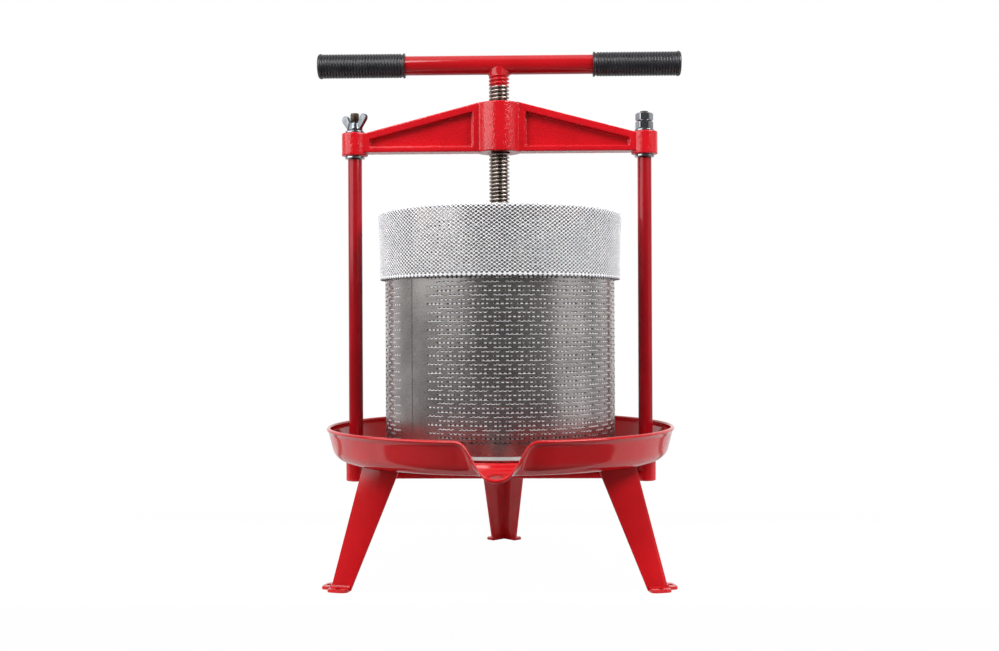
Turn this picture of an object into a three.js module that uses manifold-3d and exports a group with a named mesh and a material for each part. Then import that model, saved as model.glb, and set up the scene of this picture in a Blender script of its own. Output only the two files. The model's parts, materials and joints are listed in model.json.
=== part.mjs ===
// Fruit press: a screw under a cross handle drives a plate down into a perforated basket.
// The basket stands in a spouted tray on three folded legs.
// Millimetres, +Z up. The origin is on the screw's axis at floor level, and the spout points to -Y.

import * as THREE from 'three';
import { mergeVertices } from 'three/addons/utils/BufferGeometryUtils.js';
import Module from 'manifold-3d';

const wasm = await Module();
wasm.setup();

const degree = Math.PI / 180;
const fullTurn = 2 * Math.PI;

// Fits shared by all pieces
const clearance = 0.3;
const overrun = 1;
const mergeTolerance = 0.0001;

// Facets on round work
const roundSides = 24;
const smallSides = 12;
const basketSides = 36;
const traySides = 38;
const spoutSteps = 10;
const threadSides = 9;

// Tray
const trayUnderside = 121.4;
const traySheet = 1.5;
const trayChannelWidth = 31.1;
const trayFillet = 15;
const trayFilletSteps = 3;
const trayWallLean = 14 * degree;
const trayDepth = 32.5;
const rimBeadRadius = 2;
const rimBeadSteps = 5;
const rimBeadTurnShare = 5 / 6;
const platformMargin = 5.9;
const platformRise = 6;
const platformStep = 3.5;
const spoutReach = 40;
const spoutDrop = 1;
const spoutHalfWidth = 40;

// Columns, which carry the top beam
const columnRadius = 7.5;
const columnEdgeRoom = 0.1;
const columnHeadroom = 61.8;
const columnChamfer = 1;
const stubRadius = 6;
const studRadius = 5;
const studLength = 49;

// Base beam under the tray
const baseBeamHeight = 22;
const baseBeamWidth = 20;
const baseBeamFlange = 6;
const baseBeamWeb = 8;
const baseBossRadius = 10.75;
const baseBossDrop = 3;

// Legs
const legAzimuths = { back: 90 * degree, left: 210 * degree, right: 330 * degree };
const legBoltRoom = 2.8;
const legSplay = 34.9;
const legSheet = 3;
const legTopFlange = 40.5;
const legFootFlange = 21.5;
const legFoldAngle = 45 * degree;
const footTabDepth = 12;
const footTabCorner = 4;
const footHoleRadius = 2.75;

// Six-sided fasteners: half the width across the corners, and the thickness
const smallHexRadius = 5.77;
const smallBoltHead = 4;
const smallNutHeight = 5;
const smallBoltRadius = 3;
const smallBoltSpare = 2.5;
const jamNutHexRadius = 9.81;
const jamNutHeight = 8.4;

// Washers on the columns' studs
const washerRadius = 10.5;
const lowerWasherThickness = 2.5;
const upperWasherThickness = 2;

// Wing nut
const wingAzimuth = -38 * degree;
const wingNutRadius = 8.5;
const wingNutNeck = 6.4;
const wingNutHeight = 9;
const wingSpan = 36;
const wingTipHeight = 18;
const wingTipWidth = 8.5;
const wingThickness = 4;

// Top beam
const beamBossRadius = 14;
const beamBossHeight = 24.2;
const beamRise = 3.1;
const armThickness = 20.5;
const armRootHeight = 51.9;
const armTipHeight = 21;
const armTopFlange = 8;
const armBottomFlange = 5.6;
const armWeb = 6.5;
const armHubRib = 5.2;
const armBossRib = 2.5;
const hubRadius = 23;
const hubHeight = 52.5;
const hubRise = 2.6;

// Screw thread, right-handed
const threadPitch = 4;
const threadRadius = 11;
const threadRootRadius = 8.75;
const threadCrest = 1.46;
const threadFlank = 0.6;
const threadSideClearance = 0.3;
const screwExposedTop = 29.2;

// Handle across the top of the screw
const handleRise = 41.7;
const handleLength = 388;
const handleTubeRadius = 10.2;
const handleTubeWall = 2;
const weldRadius = 13.5;
const weldNeckRadius = 10.3;
const weldHeight = 8.6;
const gripLength = 93.6;
const gripRadius = 12.85;
const gripEndWall = 3;
const gripFlangeRadius = 13.4;
const gripFlangeWidth = 2.6;
const gripBulgeWidth = 4.6;

// Press plate, which the screw turns in and carries
const plateRise = 70.8;
const plateThickness = 3;
const plateGap = 7;
const plateHubRadius = 24;
const plateHubHeight = 24.7;
const plateHubFloor = 4;
const plateHubFlangeRadius = 37;
const plateHubFlange = 5;
const hubScrewCircle = 30.5;
const hubScrewCount = 4;
const hubScrewRadius = 2.5;
const hubScrewHeadRadius = 4.6;
const hubScrewHead = 2.6;
const retainerRadius = 4;
const retainerHexRadius = 7.5;
const retainerHead = 5.3;
const retainerEngagement = 20;
const retainerWasherRadius = 14;
const retainerWasherThickness = 2.5;

// Basket and strainer bag
const basketRadius = 122.1;
const basketSheet = 0.9;
const basketHeight = 250;
const slotLength = 14;
const slotHeight = 3.2;
const slotRows = 8;
const slotRowPitch = 28;
const bagSheet = 0.9;
const bagSkirtGap = 5;
const bagSkirtLength = 69;
const bagShoulderRadius = 3;

// Radii worked out from the sizes above
const platformRadius = basketRadius + platformMargin;
const platformFootRadius = platformRadius + platformStep;
const trayFloorRadius = platformFootRadius + trayChannelWidth;
const columnOffset = trayFloorRadius - columnRadius - columnEdgeRoom;
const sleeveRadius = basketRadius - basketSheet - clearance;
const plateRadius = sleeveRadius - bagSheet - plateGap;
const bagSkirtRadius = basketRadius + bagSkirtGap + bagSheet;

// Levels worked out from the sizes above
const trayFloor = trayUnderside + traySheet;
const platformTop = trayFloor + platformRise;
const legTop = trayUnderside - clearance;
const baseBeamTop = trayUnderside - clearance;
const baseBeamBottom = baseBeamTop - baseBeamHeight;
const baseBossBottom = baseBeamBottom - baseBossDrop;
const basketBottom = platformTop + clearance;
const basketTop = basketBottom + basketHeight;
const columnBottom = trayFloor + clearance;
const columnTop = basketTop + columnHeadroom;
const lowerWasherBottom = columnTop + clearance;
const beamBossBottom = lowerWasherBottom + lowerWasherThickness + clearance;
const beamBottom = beamBossBottom + beamRise;
const hubBottom = beamBossBottom + hubRise;
const hubTop = hubBottom + hubHeight;
const upperWasherBottom = beamBossBottom + beamBossHeight + clearance;
const nutBottom = upperWasherBottom + upperWasherThickness + clearance;
const handleAxis = hubTop + handleRise;
const weldBottom = hubTop + screwExposedTop;
const plateHeight = basketBottom + plateRise;
const plateHubBottom = plateHeight + plateThickness + clearance;
const screwBottom = plateHubBottom + plateHubFloor + clearance;

// Materials
function finish(color, roughness, metalness) {
  return new THREE.MeshStandardMaterial({ color, roughness, metalness });
}

const redPaint = finish(0xc4121f, 0.3, 0);
const zinc = finish(0xb4b7ba, 0.35, 1);
const brightSteel = finish(0xa9a8a4, 0.3, 1);
const stainless = finish(0xa5a5a3, 0.38, 1);
const blackRubber = finish(0x1c1c1e, 0.7, 0);
const whiteMesh = finish(0xf2f2f2, 0.9, 0);

// Solids

// A polygon of this radius keeps its flats at least as far out as the wanted radius.
function aroundRadius(radius, sides) {
  return radius / Math.cos(Math.PI / sides);
}

function toSolid(geometry) {
  const bare = geometry.clone();
  bare.deleteAttribute('normal');
  bare.deleteAttribute('uv');
  const merged = mergeVertices(bare, mergeTolerance);
  const triVerts = [];
  for (let i = 0; i < merged.index.count; i += 3) {
    const corners = [merged.index.getX(i), merged.index.getX(i + 1), merged.index.getX(i + 2)];
    if (new Set(corners).size === 3) triVerts.push(...corners);
  }
  const vertProperties = merged.attributes.position.array;
  return new wasm.Manifold(new wasm.Mesh({ numProp: 3, vertProperties, triVerts: new Uint32Array(triVerts) }));
}

// Turns an outline of [radius, height] pairs about Z. The outline runs anticlockwise.
function turned(outline, sides) {
  const points = outline.map(([radius, height]) => new THREE.Vector2(radius, height));
  const closesOnAxis = outline[0][0] === 0 && outline[outline.length - 1][0] === 0;
  if (!closesOnAxis) points.push(points[0].clone());
  return toSolid(new THREE.LatheGeometry(points, sides).rotateX(Math.PI / 2));
}

function rod(radius, bottom, top, sides) {
  return turned([[0, bottom], [radius, bottom], [radius, top], [0, top]], sides);
}

function ring(innerRadius, outerRadius, bottom, top, sides) {
  return turned([[innerRadius, bottom], [outerRadius, bottom], [outerRadius, top], [innerRadius, top]], sides);
}

// A six-sided prism from z = 0 up, with a corner on the X axis.
function hexPrism(radius, height) {
  const shape = new THREE.Shape();
  for (let corner = 0; corner < 6; corner += 1) {
    const angle = corner * fullTurn / 6;
    const x = radius * Math.cos(angle);
    const y = radius * Math.sin(angle);
    if (corner === 0) shape.moveTo(x, y);
    else shape.lineTo(x, y);
  }
  return raised(shape, 0, height);
}

// Raises a flat outline from one height to another.
function raised(shape, bottom, top) {
  const settings = { depth: top - bottom, bevelEnabled: false, curveSegments: smallSides };
  return toSolid(new THREE.ExtrudeGeometry(shape, settings).translate(0, 0, bottom));
}

// Raises an outline drawn in X and Z along Y, centred on y = centre.
function raisedAlongY(shape, centre, thickness) {
  const settings = { depth: thickness, bevelEnabled: false, curveSegments: smallSides };
  const geometry = new THREE.ExtrudeGeometry(shape, settings);
  return toSolid(geometry.rotateX(Math.PI / 2).translate(0, centre + thickness / 2, 0));
}

function polygon(points) {
  return new THREE.Shape(points.map(([x, y]) => new THREE.Vector2(x, y)));
}

function block(width, depth, height, x, y, z) {
  return toSolid(new THREE.BoxGeometry(width, depth, height).translate(x, y, z));
}

// A closed skin over rows of points that go round Z, each row starting and ending on the axis.
function skinOfRows(rows) {
  const count = rows[0].length;
  const positions = rows.flat().flatMap((point) => [point.x, point.y, point.z]);
  const index = [];
  for (let row = 0; row < rows.length; row += 1) {
    const next = (row + 1) % rows.length;
    for (let i = 0; i < count - 1; i += 1) {
      const a = row * count + i;
      const b = next * count + i;
      index.push(a, b, a + 1, b + 1, a + 1, b);
    }
  }
  const geometry = new THREE.BufferGeometry();
  geometry.setAttribute('position', new THREE.Float32BufferAttribute(positions, 3));
  geometry.setIndex(index);
  return toSolid(geometry);
}

function pieceMesh(name, solid, material) {
  const { vertProperties, triVerts } = solid.getMesh();
  const geometry = new THREE.BufferGeometry();
  geometry.setAttribute('position', new THREE.BufferAttribute(new Float32Array(vertProperties), 3));
  geometry.setIndex(new THREE.BufferAttribute(new Uint32Array(triVerts), 1));
  geometry.computeVertexNormals();
  const mesh = new THREE.Mesh(geometry, material);
  mesh.name = name;
  return mesh;
}

// Tray

// The wall's mid-sheet line in radius and height: a fillet up from the floor, then a leaning wall.
function trayWallLine() {
  const floorMiddle = trayUnderside + traySheet / 2;
  const line = [];
  for (let step = 0; step <= trayFilletSteps; step += 1) {
    const angle = (Math.PI / 2 - trayWallLean) * step / trayFilletSteps;
    line.push(new THREE.Vector2(
      trayFloorRadius + trayFillet * Math.sin(angle),
      floorMiddle + trayFillet * (1 - Math.cos(angle)),
    ));
  }
  const bend = line[line.length - 1];
  const rimHeight = trayUnderside + trayDepth;
  const rimRadius = bend.x + (rimHeight - bend.y) * Math.tan(trayWallLean);
  line.push(new THREE.Vector2(rimRadius, rimHeight));
  return line;
}

// The same number of points along the spout's middle, from the floor's edge to the lip.
function traySpoutLine(wallLine) {
  const floorMiddle = trayUnderside + traySheet / 2;
  const start = new THREE.Vector2(trayFloorRadius, floorMiddle);
  const lip = new THREE.Vector2(trayFloorRadius + spoutReach, floorMiddle - spoutDrop);
  const lengths = [0];
  for (let i = 1; i < wallLine.length; i += 1) {
    lengths.push(lengths[i - 1] + wallLine[i].distanceTo(wallLine[i - 1]));
  }
  const whole = lengths[lengths.length - 1];
  return lengths.map((length) => start.clone().lerp(lip, length / whole));
}

// Unit directions along a line at one of its points, and square to it on its upper side.
function lineDirections(line, i) {
  const before = line[Math.max(i - 1, 0)];
  const after = line[Math.min(i + 1, line.length - 1)];
  const along = after.clone().sub(before).normalize();
  const up = new THREE.Vector2(-along.y, along.x);
  return { along, up };
}

// The sheet's outline from the underside of the floor's edge, round the rim bead, to the floor's upper side.
function sheetOutline(line) {
  const outline = [];
  const last = line.length - 1;
  const place = (i, sideways, forward) => {
    const { along, up } = lineDirections(line, i);
    return line[i].clone().addScaledVector(up, sideways).addScaledVector(along, forward);
  };
  for (let i = 0; i < last; i += 1) outline.push(place(i, -traySheet / 2, 0));
  for (let step = 0; step <= rimBeadSteps; step += 1) {
    const angle = fullTurn * (step / rimBeadSteps - 1 / 2) * rimBeadTurnShare;
    outline.push(place(last, rimBeadRadius * Math.sin(angle), rimBeadRadius * Math.cos(angle)));
  }
  for (let i = last - 1; i >= 0; i -= 1) outline.push(place(i, traySheet / 2, 0));
  return outline;
}

// How far the wall is drawn out into the spout: 1 at its middle, falling smoothly to 0 at its shoulders.
function spoutShare(angle, halfAngle) {
  const distanceShare = Math.min(Math.abs(angle) / halfAngle, 1);
  const waveShare = (1 + Math.cos(Math.PI * distanceShare)) / 2;
  const steepShare = waveShare * waveShare * (3 - 2 * waveShare);
  return (waveShare + steepShare) / 2;
}

function trayAngles(halfAngle) {
  const angles = [];
  for (let step = 0; step < spoutSteps; step += 1) {
    angles.push(halfAngle * (2 * step / spoutSteps - 1));
  }
  const rest = fullTurn - 2 * halfAngle;
  for (let step = 0; step < traySides; step += 1) {
    angles.push(halfAngle + rest * step / traySides);
  }
  return angles;
}

function traySolid() {
  const wallLine = trayWallLine();
  const wall = sheetOutline(wallLine);
  const spout = sheetOutline(traySpoutLine(wallLine));
  const halfAngle = Math.asin(spoutHalfWidth / wallLine[wallLine.length - 1].x);
  const platformUnder = platformTop - traySheet;
  const under = [[0, platformUnder], [platformRadius, platformUnder],
    [platformFootRadius, trayUnderside]];
  const over = [[platformFootRadius, trayFloor], [platformRadius, platformTop], [0, platformTop]];
  const rows = trayAngles(halfAngle).map((angle) => {
    const share = spoutShare(angle, halfAngle);
    const drawn = wall.map((point, i) => point.clone().lerp(spout[i], share));
    const outline = [...under, ...drawn.map((point) => [point.x, point.y]), ...over];
    const direction = angle - Math.PI / 2;
    return outline.map(([radius, height]) => new THREE.Vector3(
      radius * Math.cos(direction),
      radius * Math.sin(direction),
      height,
    ));
  });
  let tray = skinOfRows(rows);
  const holeRadius = aroundRadius(stubRadius + clearance, smallSides);
  const hole = rod(holeRadius, trayUnderside - overrun, trayFloor + overrun, smallSides);
  for (const side of [-1, 1]) {
    tray = tray.subtract(hole.translate([side * columnOffset, 0, 0]));
  }
  const boltHole = rod(
    aroundRadius(smallBoltRadius + clearance, smallSides),
    trayUnderside - overrun,
    trayFloor + overrun,
    smallSides,
  );
  for (const azimuth of Object.values(legAzimuths)) {
    for (const side of [-1, 1]) {
      const place = legBoltPlace(side).rotateAround(new THREE.Vector2(), azimuth);
      tray = tray.subtract(boltHole.translate([place.x, place.y, 0]));
    }
  }
  return tray;
}

// Base beam, an I-section with a boss for each column

function baseBeamSolid() {
  const halfWidth = baseBeamWidth / 2;
  const halfWeb = baseBeamWeb / 2;
  const span = 2 * columnOffset;
  const middle = (baseBeamTop + baseBeamBottom) / 2;
  const bar = block(span, baseBeamWidth, baseBeamHeight, 0, 0, middle);
  const grooveDepth = halfWidth - halfWeb;
  const grooveHeight = baseBeamHeight - 2 * baseBeamFlange;
  const boss = rod(baseBossRadius, baseBossBottom, baseBeamTop, roundSides);
  const bore = rod(
    aroundRadius(stubRadius + clearance, smallSides),
    baseBossBottom - overrun,
    baseBeamTop + overrun,
    smallSides,
  );
  let beam = bar;
  for (const side of [-1, 1]) {
    const grooveMiddle = side * (halfWeb + (grooveDepth + overrun) / 2);
    beam = beam.subtract(block(span + 2 * overrun, grooveDepth + overrun, grooveHeight, 0, grooveMiddle, middle));
  }
  for (const side of [-1, 1]) beam = beam.add(boss.translate([side * columnOffset, 0, 0]));
  for (const side of [-1, 1]) beam = beam.subtract(bore.translate([side * columnOffset, 0, 0]));
  return beam;
}

// Legs, drawn with the fold on +X and placed by turning about Z

// A leg's bolts stand beside each other, just outside the platform's foot.
const legBoltSpread = smallHexRadius + clearance;
const legBoltRadius = platformFootRadius + legBoltRoom + smallHexRadius;
const legBoltReach = Math.sqrt(legBoltRadius * legBoltRadius - legBoltSpread * legBoltSpread);

// The fold is as far out as its flanges need to clear the bolts.
const legFlangeRoom = (legSheet + smallHexRadius + clearance) / Math.sin(legFoldAngle);
const legTopRadius = legBoltReach + legFlangeRoom + legBoltSpread / Math.tan(legFoldAngle);
const legFootRadius = legTopRadius + legSplay;

function legBoltPlace(side) {
  return new THREE.Vector2(legBoltReach, side * legBoltSpread);
}

// A level cut through the folded sheet, as six corners.
function legSection(foldRadius, flange, height) {
  const back = Math.cos(legFoldAngle);
  const aside = Math.sin(legFoldAngle);
  const insideFold = foldRadius - legSheet / aside;
  const endX = foldRadius - flange * back;
  const endY = flange * aside;
  const innerX = endX - legSheet * aside;
  const innerY = endY - legSheet * back;
  const corners = [[foldRadius, 0], [endX, endY], [innerX, innerY], [insideFold, 0],
    [innerX, -innerY], [endX, -endY]];
  return corners.map(([x, y]) => new THREE.Vector3(x, y, height));
}

function legFlanges() {
  const foot = legSection(legFootRadius, legFootFlange, 0);
  const top = legSection(legTopRadius, legTopFlange, legTop);
  const count = foot.length;
  const positions = [...foot, ...top].flatMap((point) => [point.x, point.y, point.z]);
  const index = [];
  for (let i = 0; i < count; i += 1) {
    const j = (i + 1) % count;
    index.push(i, j, i + count, j, j + count, i + count);
  }
  const flat = foot.map((point) => new THREE.Vector2(point.x, point.y));
  for (const [a, b, c] of THREE.ShapeUtils.triangulateShape(flat, [])) {
    index.push(a, c, b);
    index.push(a + count, b + count, c + count);
  }
  const geometry = new THREE.BufferGeometry();
  geometry.setAttribute('position', new THREE.Float32BufferAttribute(positions, 3));
  geometry.setIndex(index);
  return toSolid(geometry);
}

// The plate across the top of the fold, which is bolted up to the tray's floor.
function legTopPlate() {
  const back = legTopFlange * Math.cos(legFoldAngle);
  const aside = legTopFlange * Math.sin(legFoldAngle);
  const corner = legSheet;
  const shape = polygon([[legTopRadius, 0], [legTopRadius - back, aside],
    [legTopRadius - back - corner, aside - corner], [legTopRadius - back - corner, corner - aside],
    [legTopRadius - back, -aside]]);
  return raised(shape, legTop - legSheet, legTop);
}

// A tab that turns out along the floor from the foot of one flange, with a screw hole.
function footTab() {
  const shape = new THREE.Shape();
  shape.moveTo(0, -legSheet);
  shape.lineTo(legFootFlange, -legSheet);
  shape.lineTo(legFootFlange, footTabDepth - footTabCorner);
  shape.lineTo(legFootFlange - footTabCorner, footTabDepth);
  shape.lineTo(footTabCorner, footTabDepth);
  shape.lineTo(0, footTabDepth - footTabCorner);
  const hole = rod(footHoleRadius, -overrun, legSheet + overrun, smallSides);
  return raised(shape, 0, legSheet).subtract(hole.translate([legFootFlange / 2, footTabDepth / 2, 0]));
}

function legSolid() {
  const boltHole = rod(
    aroundRadius(smallBoltRadius + clearance, smallSides),
    legTop - legSheet - overrun,
    legTop + overrun,
    smallSides,
  );
  const leftTab = footTab().rotate([0, 0, 180 + legFoldAngle / degree]).translate([legFootRadius, 0, 0]);
  let leg = legFlanges().add(legTopPlate()).add(leftTab).add(leftTab.mirror([0, 1, 0]));
  for (const side of [-1, 1]) {
    const place = legBoltPlace(side);
    leg = leg.subtract(boltHole.translate([place.x, place.y, 0]));
  }
  return leg;
}

// A bolt drawn with the underside of its head at z = 0 and its shank below.
function hexBolt(shankLength) {
  return hexPrism(smallHexRadius, smallBoltHead).add(rod(smallBoltRadius, -shankLength, overrun, smallSides));
}

function hexNut(radius, height, boreRadius) {
  const bore = rod(aroundRadius(boreRadius + clearance, smallSides), -overrun, height + overrun, smallSides);
  return hexPrism(radius, height).subtract(bore);
}

function legGroup(name, azimuth) {
  const group = new THREE.Group();
  group.rotation.z = azimuth;
  group.add(pieceMesh(`leg_${name}`, legSolid(), redPaint));
  const nutTop = legTop - legSheet - clearance;
  const headBottom = trayFloor + clearance;
  const shankLength = headBottom - nutTop + smallNutHeight + smallBoltSpare;
  for (const [side, label] of [[-1, 'a'], [1, 'b']]) {
    const place = legBoltPlace(side);
    const bolt = pieceMesh(`leg_bolt_${name}_${label}`, hexBolt(shankLength), zinc);
    bolt.position.set(place.x, place.y, headBottom);
    const nut = pieceMesh(`leg_nut_${name}_${label}`, hexNut(smallHexRadius, smallNutHeight, smallBoltRadius), zinc);
    nut.position.set(place.x, place.y, nutTop - smallNutHeight);
    group.add(bolt, nut);
  }
  return group;
}

// Columns

function columnSolid() {
  const stubBottom = baseBossBottom + columnChamfer;
  const studTop = columnTop + studLength;
  return turned([
    [0, stubBottom],
    [stubRadius - columnChamfer, stubBottom],
    [stubRadius, stubBottom + columnChamfer],
    [stubRadius, columnBottom],
    [columnRadius, columnBottom],
    [columnRadius, columnTop - columnChamfer],
    [columnRadius - columnChamfer, columnTop],
    [studRadius, columnTop],
    [studRadius, studTop - columnChamfer],
    [studRadius - columnChamfer, studTop],
    [0, studTop],
  ], smallSides);
}

function washerSolid(thickness) {
  return ring(aroundRadius(studRadius + clearance, smallSides), washerRadius, 0, thickness, smallSides);
}

// Wing nut, drawn with its seat at z = 0 and its wings along X

function wingSolid(side) {
  const tip = wingSpan / 2;
  const shape = polygon([
    [0, 0],
    [wingNutRadius, 0],
    [tip, wingTipHeight - wingTipWidth],
    [tip, wingTipHeight - wingTipWidth / 2],
    [tip - wingTipWidth / 2, wingTipHeight],
    [tip - wingTipWidth, wingTipHeight - wingTipWidth / 4],
    [wingNutNeck, wingNutHeight],
    [0, wingNutHeight],
  ].map(([x, z]) => [side * x, z]));
  return raisedAlongY(shape, 0, wingThickness);
}

function wingNutSolid() {
  const body = turned([
    [0, 0],
    [wingNutRadius, 0],
    [wingNutRadius, wingNutHeight / 4],
    [wingNutNeck, wingNutHeight],
    [0, wingNutHeight],
  ], smallSides);
  const boreRadius = aroundRadius(studRadius + clearance, smallSides);
  const bore = rod(boreRadius, -overrun, wingTipHeight + overrun, smallSides);
  return body.add(wingSolid(1)).add(wingSolid(-1)).subtract(bore);
}

// Screw thread

// A right-handed screw from bottom to top. Past either end the thread has run out to its root.
function threadedRod(rootRadius, crestRadius, crest, flank, bottom, top) {
  const root = threadPitch - crest - 2 * flank;
  const firstRoot = screwBottom - root / 2;
  const firstTurn = Math.floor((bottom - firstRoot) / threadPitch) - 1;
  const lastTurn = Math.ceil((top - firstRoot) / threadPitch);
  const profile = [[0, rootRadius], [root, rootRadius], [root + flank, crestRadius],
    [root + flank + crest, crestRadius]];
  const rows = [];
  for (let step = 0; step < threadSides; step += 1) {
    rows.push(threadRow(step, profile, firstRoot, firstTurn, lastTurn, bottom, top));
  }
  return skinOfHelix(rows, profile.length, bottom, top);
}

// One upright line of the thread's points, each with its radius, its height and the angle it stands at.
function threadRow(step, profile, firstRoot, firstTurn, lastTurn, bottom, top) {
  const row = [];
  for (let turn = firstTurn; turn <= lastTurn; turn += 1) {
    for (const [offset, radius] of profile) {
      const height = firstRoot + offset + threadPitch * (turn + step / threadSides);
      row.push({ radius, height });
    }
  }
  return row.map(({ radius, height }) => {
    const inside = height > bottom && height < top;
    const kept = inside ? radius : profile[0][1];
    const angle = fullTurn * step / threadSides;
    return new THREE.Vector3(
      kept * Math.cos(angle),
      kept * Math.sin(angle),
      Math.min(Math.max(height, bottom), top),
    );
  });
}

// Joins the rows into one closed skin. The last row meets the first one pitch higher.
function skinOfHelix(rows, perPitch, bottom, top) {
  const positions = [];
  const index = [];
  const count = rows[0].length;
  const pointIndex = (row, i) => {
    if (row < rows.length) return row * count + i;
    return Math.min(i + perPitch, count - 1);
  };
  for (const row of rows) {
    for (const point of row) positions.push(point.x, point.y, point.z);
  }
  const bottomCentre = positions.length / 3;
  positions.push(0, 0, bottom, 0, 0, top);
  const topCentre = bottomCentre + 1;
  for (let row = 0; row < rows.length; row += 1) {
    for (let i = 0; i < count - 1; i += 1) {
      const a = pointIndex(row, i);
      const b = pointIndex(row + 1, i);
      const c = pointIndex(row + 1, i + 1);
      const d = pointIndex(row, i + 1);
      index.push(a, b, d, c, d, b);
    }
    index.push(bottomCentre, pointIndex(row + 1, 0), pointIndex(row, 0));
    index.push(topCentre, pointIndex(row, count - 1), pointIndex(row + 1, count - 1));
  }
  const geometry = new THREE.BufferGeometry();
  geometry.setAttribute('position', new THREE.Float32BufferAttribute(positions, 3));
  geometry.setIndex(index);
  return toSolid(geometry);
}

// The thread's hollow through the hub: the screw's own thread with running room all round.
function threadHollow(bottom, top) {
  const root = aroundRadius(threadRootRadius + clearance, threadSides);
  const crest = aroundRadius(threadRadius + clearance, threadSides);
  const slope = threadFlank / (threadRadius - threadRootRadius);
  const crestWidth = threadCrest + 2 * threadSideClearance - 2 * slope * (crest - threadRadius);
  return threadedRod(root, crest, crestWidth, slope * (crest - root), bottom, top);
}

// Top beam

// One arm's outline from the screw's axis to the boss, in X and Z.
function armOutline() {
  const tip = columnOffset - beamBossRadius;
  return polygon([[0, beamBottom], [columnOffset, beamBottom], [columnOffset, beamBottom + armTipHeight],
    [tip, beamBottom + armTipHeight], [hubRadius, beamBottom + armRootHeight], [0, beamBottom + armRootHeight]]);
}

// The hollow on each face of an arm, between its flanges and ribs.
function armPocket() {
  const tip = columnOffset - beamBossRadius;
  const slope = (armRootHeight - armTipHeight) / (tip - hubRadius);
  const left = hubRadius + armHubRib;
  const right = tip - armBossRib;
  const floor = beamBottom + armBottomFlange;
  const roof = (x) => beamBottom + armRootHeight - armTopFlange - slope * (x - hubRadius);
  return polygon([[left, floor], [right, floor], [right, roof(right)], [left, roof(left)]]);
}

function armSolid() {
  const depth = (armThickness - armWeb) / 2;
  const middle = (armWeb + depth) / 2;
  let arm = raisedAlongY(armOutline(), 0, armThickness);
  for (const face of [-1, 1]) {
    arm = arm.subtract(raisedAlongY(armPocket(), face * (middle + overrun / 2), depth + overrun));
  }
  return arm;
}

function topBeamSolid() {
  const arm = armSolid();
  const hub = rod(hubRadius, hubBottom, hubTop, roundSides);
  const bossTop = beamBossBottom + beamBossHeight;
  const boss = rod(beamBossRadius, beamBossBottom, bossTop, roundSides);
  const boreRadius = aroundRadius(studRadius + clearance, smallSides);
  const bore = rod(boreRadius, beamBossBottom - overrun, bossTop + overrun, smallSides);
  const slotLengthToBack = beamBossRadius + overrun;
  const slot = block(
    2 * boreRadius,
    slotLengthToBack,
    beamBossHeight + 2 * overrun,
    -columnOffset,
    slotLengthToBack / 2,
    beamBossBottom + beamBossHeight / 2,
  );
  return arm.add(arm.mirror([1, 0, 0]))
    .add(hub)
    .add(boss.translate([columnOffset, 0, 0]))
    .add(boss.translate([-columnOffset, 0, 0]))
    .subtract(bore.translate([columnOffset, 0, 0]))
    .subtract(bore.translate([-columnOffset, 0, 0]))
    .subtract(slot)
    .subtract(threadHollow(hubBottom - threadPitch, hubTop + threadPitch));
}

// Screw, handle and grips

function alongX(solid) {
  return solid.rotate([0, 90, 0]);
}

function screwSolid() {
  const thread = threadedRod(threadRootRadius, threadRadius, threadCrest, threadFlank, screwBottom, weldBottom);
  const weldTop = weldBottom + weldHeight;
  const weld = turned([[0, weldBottom - overrun], [threadRootRadius, weldBottom - overrun],
    [weldNeckRadius, weldBottom], [weldRadius, weldTop], [0, weldTop]], roundSides);
  const tubeRadius = aroundRadius(handleTubeRadius + clearance, roundSides);
  const saddle = alongX(rod(tubeRadius, -2 * weldRadius, 2 * weldRadius, roundSides));
  const boltHoleTop = screwBottom + retainerEngagement + clearance;
  const boltHoleRadius = aroundRadius(retainerRadius + clearance, smallSides);
  return thread.add(weld)
    .subtract(saddle.translate([0, 0, handleAxis]))
    .subtract(rod(boltHoleRadius, screwBottom - overrun, boltHoleTop, smallSides));
}

function handleTubeSolid() {
  const half = handleLength / 2 - gripEndWall - clearance;
  return alongX(ring(handleTubeRadius - handleTubeWall, handleTubeRadius, -half, half, roundSides));
}

// A grip drawn along Z, from its open flanged end at z = 0 to its closed end.
function gripSolid() {
  const bore = aroundRadius(handleTubeRadius + clearance, roundSides);
  const boreEnd = gripLength - gripEndWall;
  const bulgeStart = gripLength - gripBulgeWidth;
  const softening = gripBulgeWidth / 4;
  return turned([
    [bore, 0],
    [gripFlangeRadius - softening, 0],
    [gripFlangeRadius, gripFlangeWidth / 2],
    [gripRadius, gripFlangeWidth],
    [gripRadius, bulgeStart],
    [gripFlangeRadius, bulgeStart + softening],
    [gripFlangeRadius, gripLength - softening],
    [gripFlangeRadius - softening, gripLength],
    [0, gripLength],
    [0, boreEnd],
    [bore, boreEnd],
  ], roundSides);
}

// Press plate

function pressDiscSolid() {
  const bore = aroundRadius(retainerRadius + clearance, smallSides);
  const centreHole = rod(bore, plateHeight - overrun, plateHeight + plateThickness + overrun, smallSides);
  let disc = rod(plateRadius, plateHeight, plateHeight + plateThickness, basketSides).subtract(centreHole);
  for (const place of hubScrewPlaces()) disc = disc.subtract(hubScrewHole().translate([place.x, place.y, 0]));
  return disc;
}

function hubScrewPlaces() {
  const places = [];
  for (let i = 0; i < hubScrewCount; i += 1) {
    const angle = (i + 1 / 2) * fullTurn / hubScrewCount;
    places.push(new THREE.Vector2(hubScrewCircle * Math.cos(angle), hubScrewCircle * Math.sin(angle)));
  }
  return places;
}

function hubScrewHole() {
  const radius = aroundRadius(hubScrewRadius + clearance, smallSides);
  return rod(radius, plateHeight - overrun, plateHubBottom + plateHubFlange + overrun, smallSides);
}

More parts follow.
